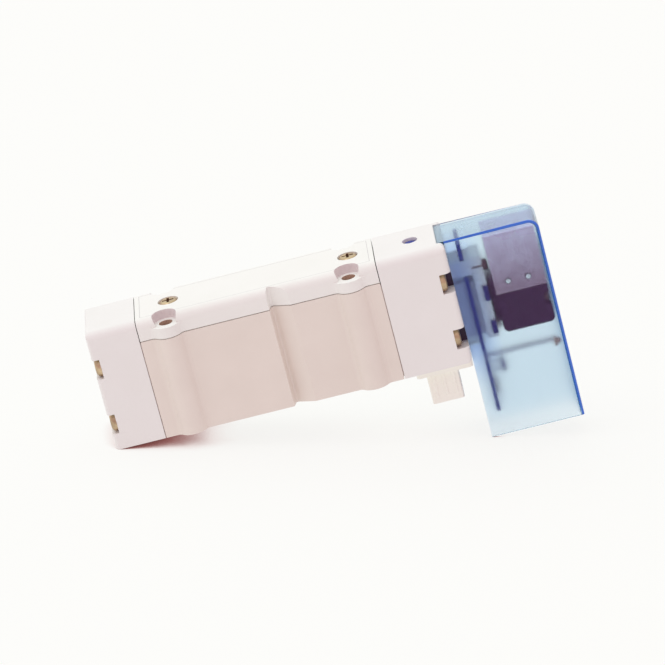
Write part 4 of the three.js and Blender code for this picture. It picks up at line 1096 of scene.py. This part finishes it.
def floor_frame():
    """The plane that touches the end cover's lower edge and the hanging cover's corner."""
    corner = Vector((COVER_LEFT, 0, COVER_BOTTOM))
    foot = Vector((VALVE_LEFT + FOOT_RADIUS, 0, FOOT_RADIUS)) - corner
    slope = math.atan2(foot.z, -foot.x) - math.asin(FOOT_RADIUS / foot.length)
    normal = Vector((math.sin(slope), 0, math.cos(slope)))
    return corner, normal


def contact_tone(tree):
    """The floor's colour with a painted contact shadow: dark only where something is close above
    it.
    """
    nearness = tree.nodes.new("ShaderNodeAmbientOcclusion")
    nearness.samples = 16
    feed(tree, nearness, Distance=CONTACT_SHADE * MM)
    tone = tree.nodes.new("ShaderNodeValToRGB")
    stops = tone.color_ramp.elements
    stops[0].position, stops[0].color = FLOOR_TONES[0]
    stops[1].position, stops[1].color = FLOOR_TONES[-1]
    for position, colour in FLOOR_TONES[1:-1]:
        stops.new(position).color = colour
    feed(tree, tone, Fac=nearness.outputs["AO"])
    return tone.outputs["Color"]


def mix_shaders(tree, first, second, share):
    """A mix of two shaders; share is a number or a socket."""
    mix = tree.nodes.new("ShaderNodeMixShader")
    feed(tree, mix, Fac=share)
    link(tree, first, mix.inputs[1])
    link(tree, second, mix.inputs[2])
    return mix.outputs["Shader"]


def floor_material():
    """White and evenly lit, with a soft dark-red shade close under the object."""
    material = bpy.data.materials.new("floor")
    material.use_nodes = True
    tree = material.node_tree
    nodes = tree.nodes
    tone = contact_tone(tree)
    glow = nodes.new("ShaderNodeEmission")
    feed(tree, glow, Color=tone)
    matt = nodes["Principled BSDF"]
    feed(tree, matt, Base_Color=tone, Roughness=0.9, Specular_IOR_Level=0.0)
    lit = mix_shaders(tree, glow.outputs["Emission"], matt.outputs["BSDF"], FLOOR_LIT_SHARE)
    clear = nodes.new("ShaderNodeBsdfTransparent")
    side = nodes.new("ShaderNodeNewGeometry")
    one_sided = mix_shaders(tree, lit, clear.outputs["BSDF"], side.outputs["Backfacing"])
    feed(tree, nodes["Material Output"], Surface=one_sided)
    material.cycles.emission_sampling = "NONE"
    return material


def add_floor():
    corner, normal = floor_frame()
    sheet = bmesh.new()
    bmesh.ops.create_grid(sheet, x_segments=1, y_segments=1, size=FLOOR_SIZE / 2)
    floor = as_object(sheet, "floor")
    floor.data.materials.append(floor_material())
    turn = normal.to_track_quat("Z", "Y").to_matrix().to_4x4()
    floor.matrix_world = Matrix.Translation(corner * MM - normal * FLOOR_GAP) @ turn


def add_sun(name, direction, strength, softness):
    """A far soft light; direction is where it comes from, in the room."""
    data = bpy.data.lights.new(name, "SUN")
    data.energy, data.angle = strength, math.radians(softness)
    light = new_object(name, data)
    source = to_row @ Vector(direction)
    light.matrix_world = source.to_track_quat("Z", "Y").to_matrix().to_4x4()


def add_sky():
    """A soft box of light, brightest above and to the left, dim and warm near the horizon."""
    world = bpy.data.worlds.new("studio")
    world.use_nodes = True
    tree = world.node_tree
    nodes = tree.nodes
    look = nodes.new("ShaderNodeTexCoord")
    height = nodes.new("ShaderNodeVectorMath")
    height.operation = "DOT_PRODUCT"
    link(tree, look.outputs["Generated"], height.inputs[0])
    height.inputs[1].default_value = tuple((to_row @ Vector(SKY_TOP)).normalized())
    power = nodes.new("ShaderNodeMath")
    power.operation, power.use_clamp = "POWER", True
    link(tree, span(tree, height.outputs["Value"], 0, 1), power.inputs[0])
    power.inputs[1].default_value = 2
    sky = blend_colours(tree, power.outputs["Value"], SKY_LOW_COLOUR, SKY_TOP_COLOUR)
    path = nodes.new("ShaderNodeLightPath")
    seen = blend_colours(tree, path.outputs["Is Camera Ray"], sky, SKY_SEEN_COLOUR)
    feed(tree, nodes["Background"], Color=seen)
    return world


def add_light():
    add_sun("key", KEY_FROM, KEY_STRENGTH, KEY_SOFTNESS)
    scene = bpy.context.scene
    scene.world = add_sky()
    scene.view_settings.view_transform = "Standard"
    scene.view_settings.look = "None"


add_camera()
add_floor()
add_light()
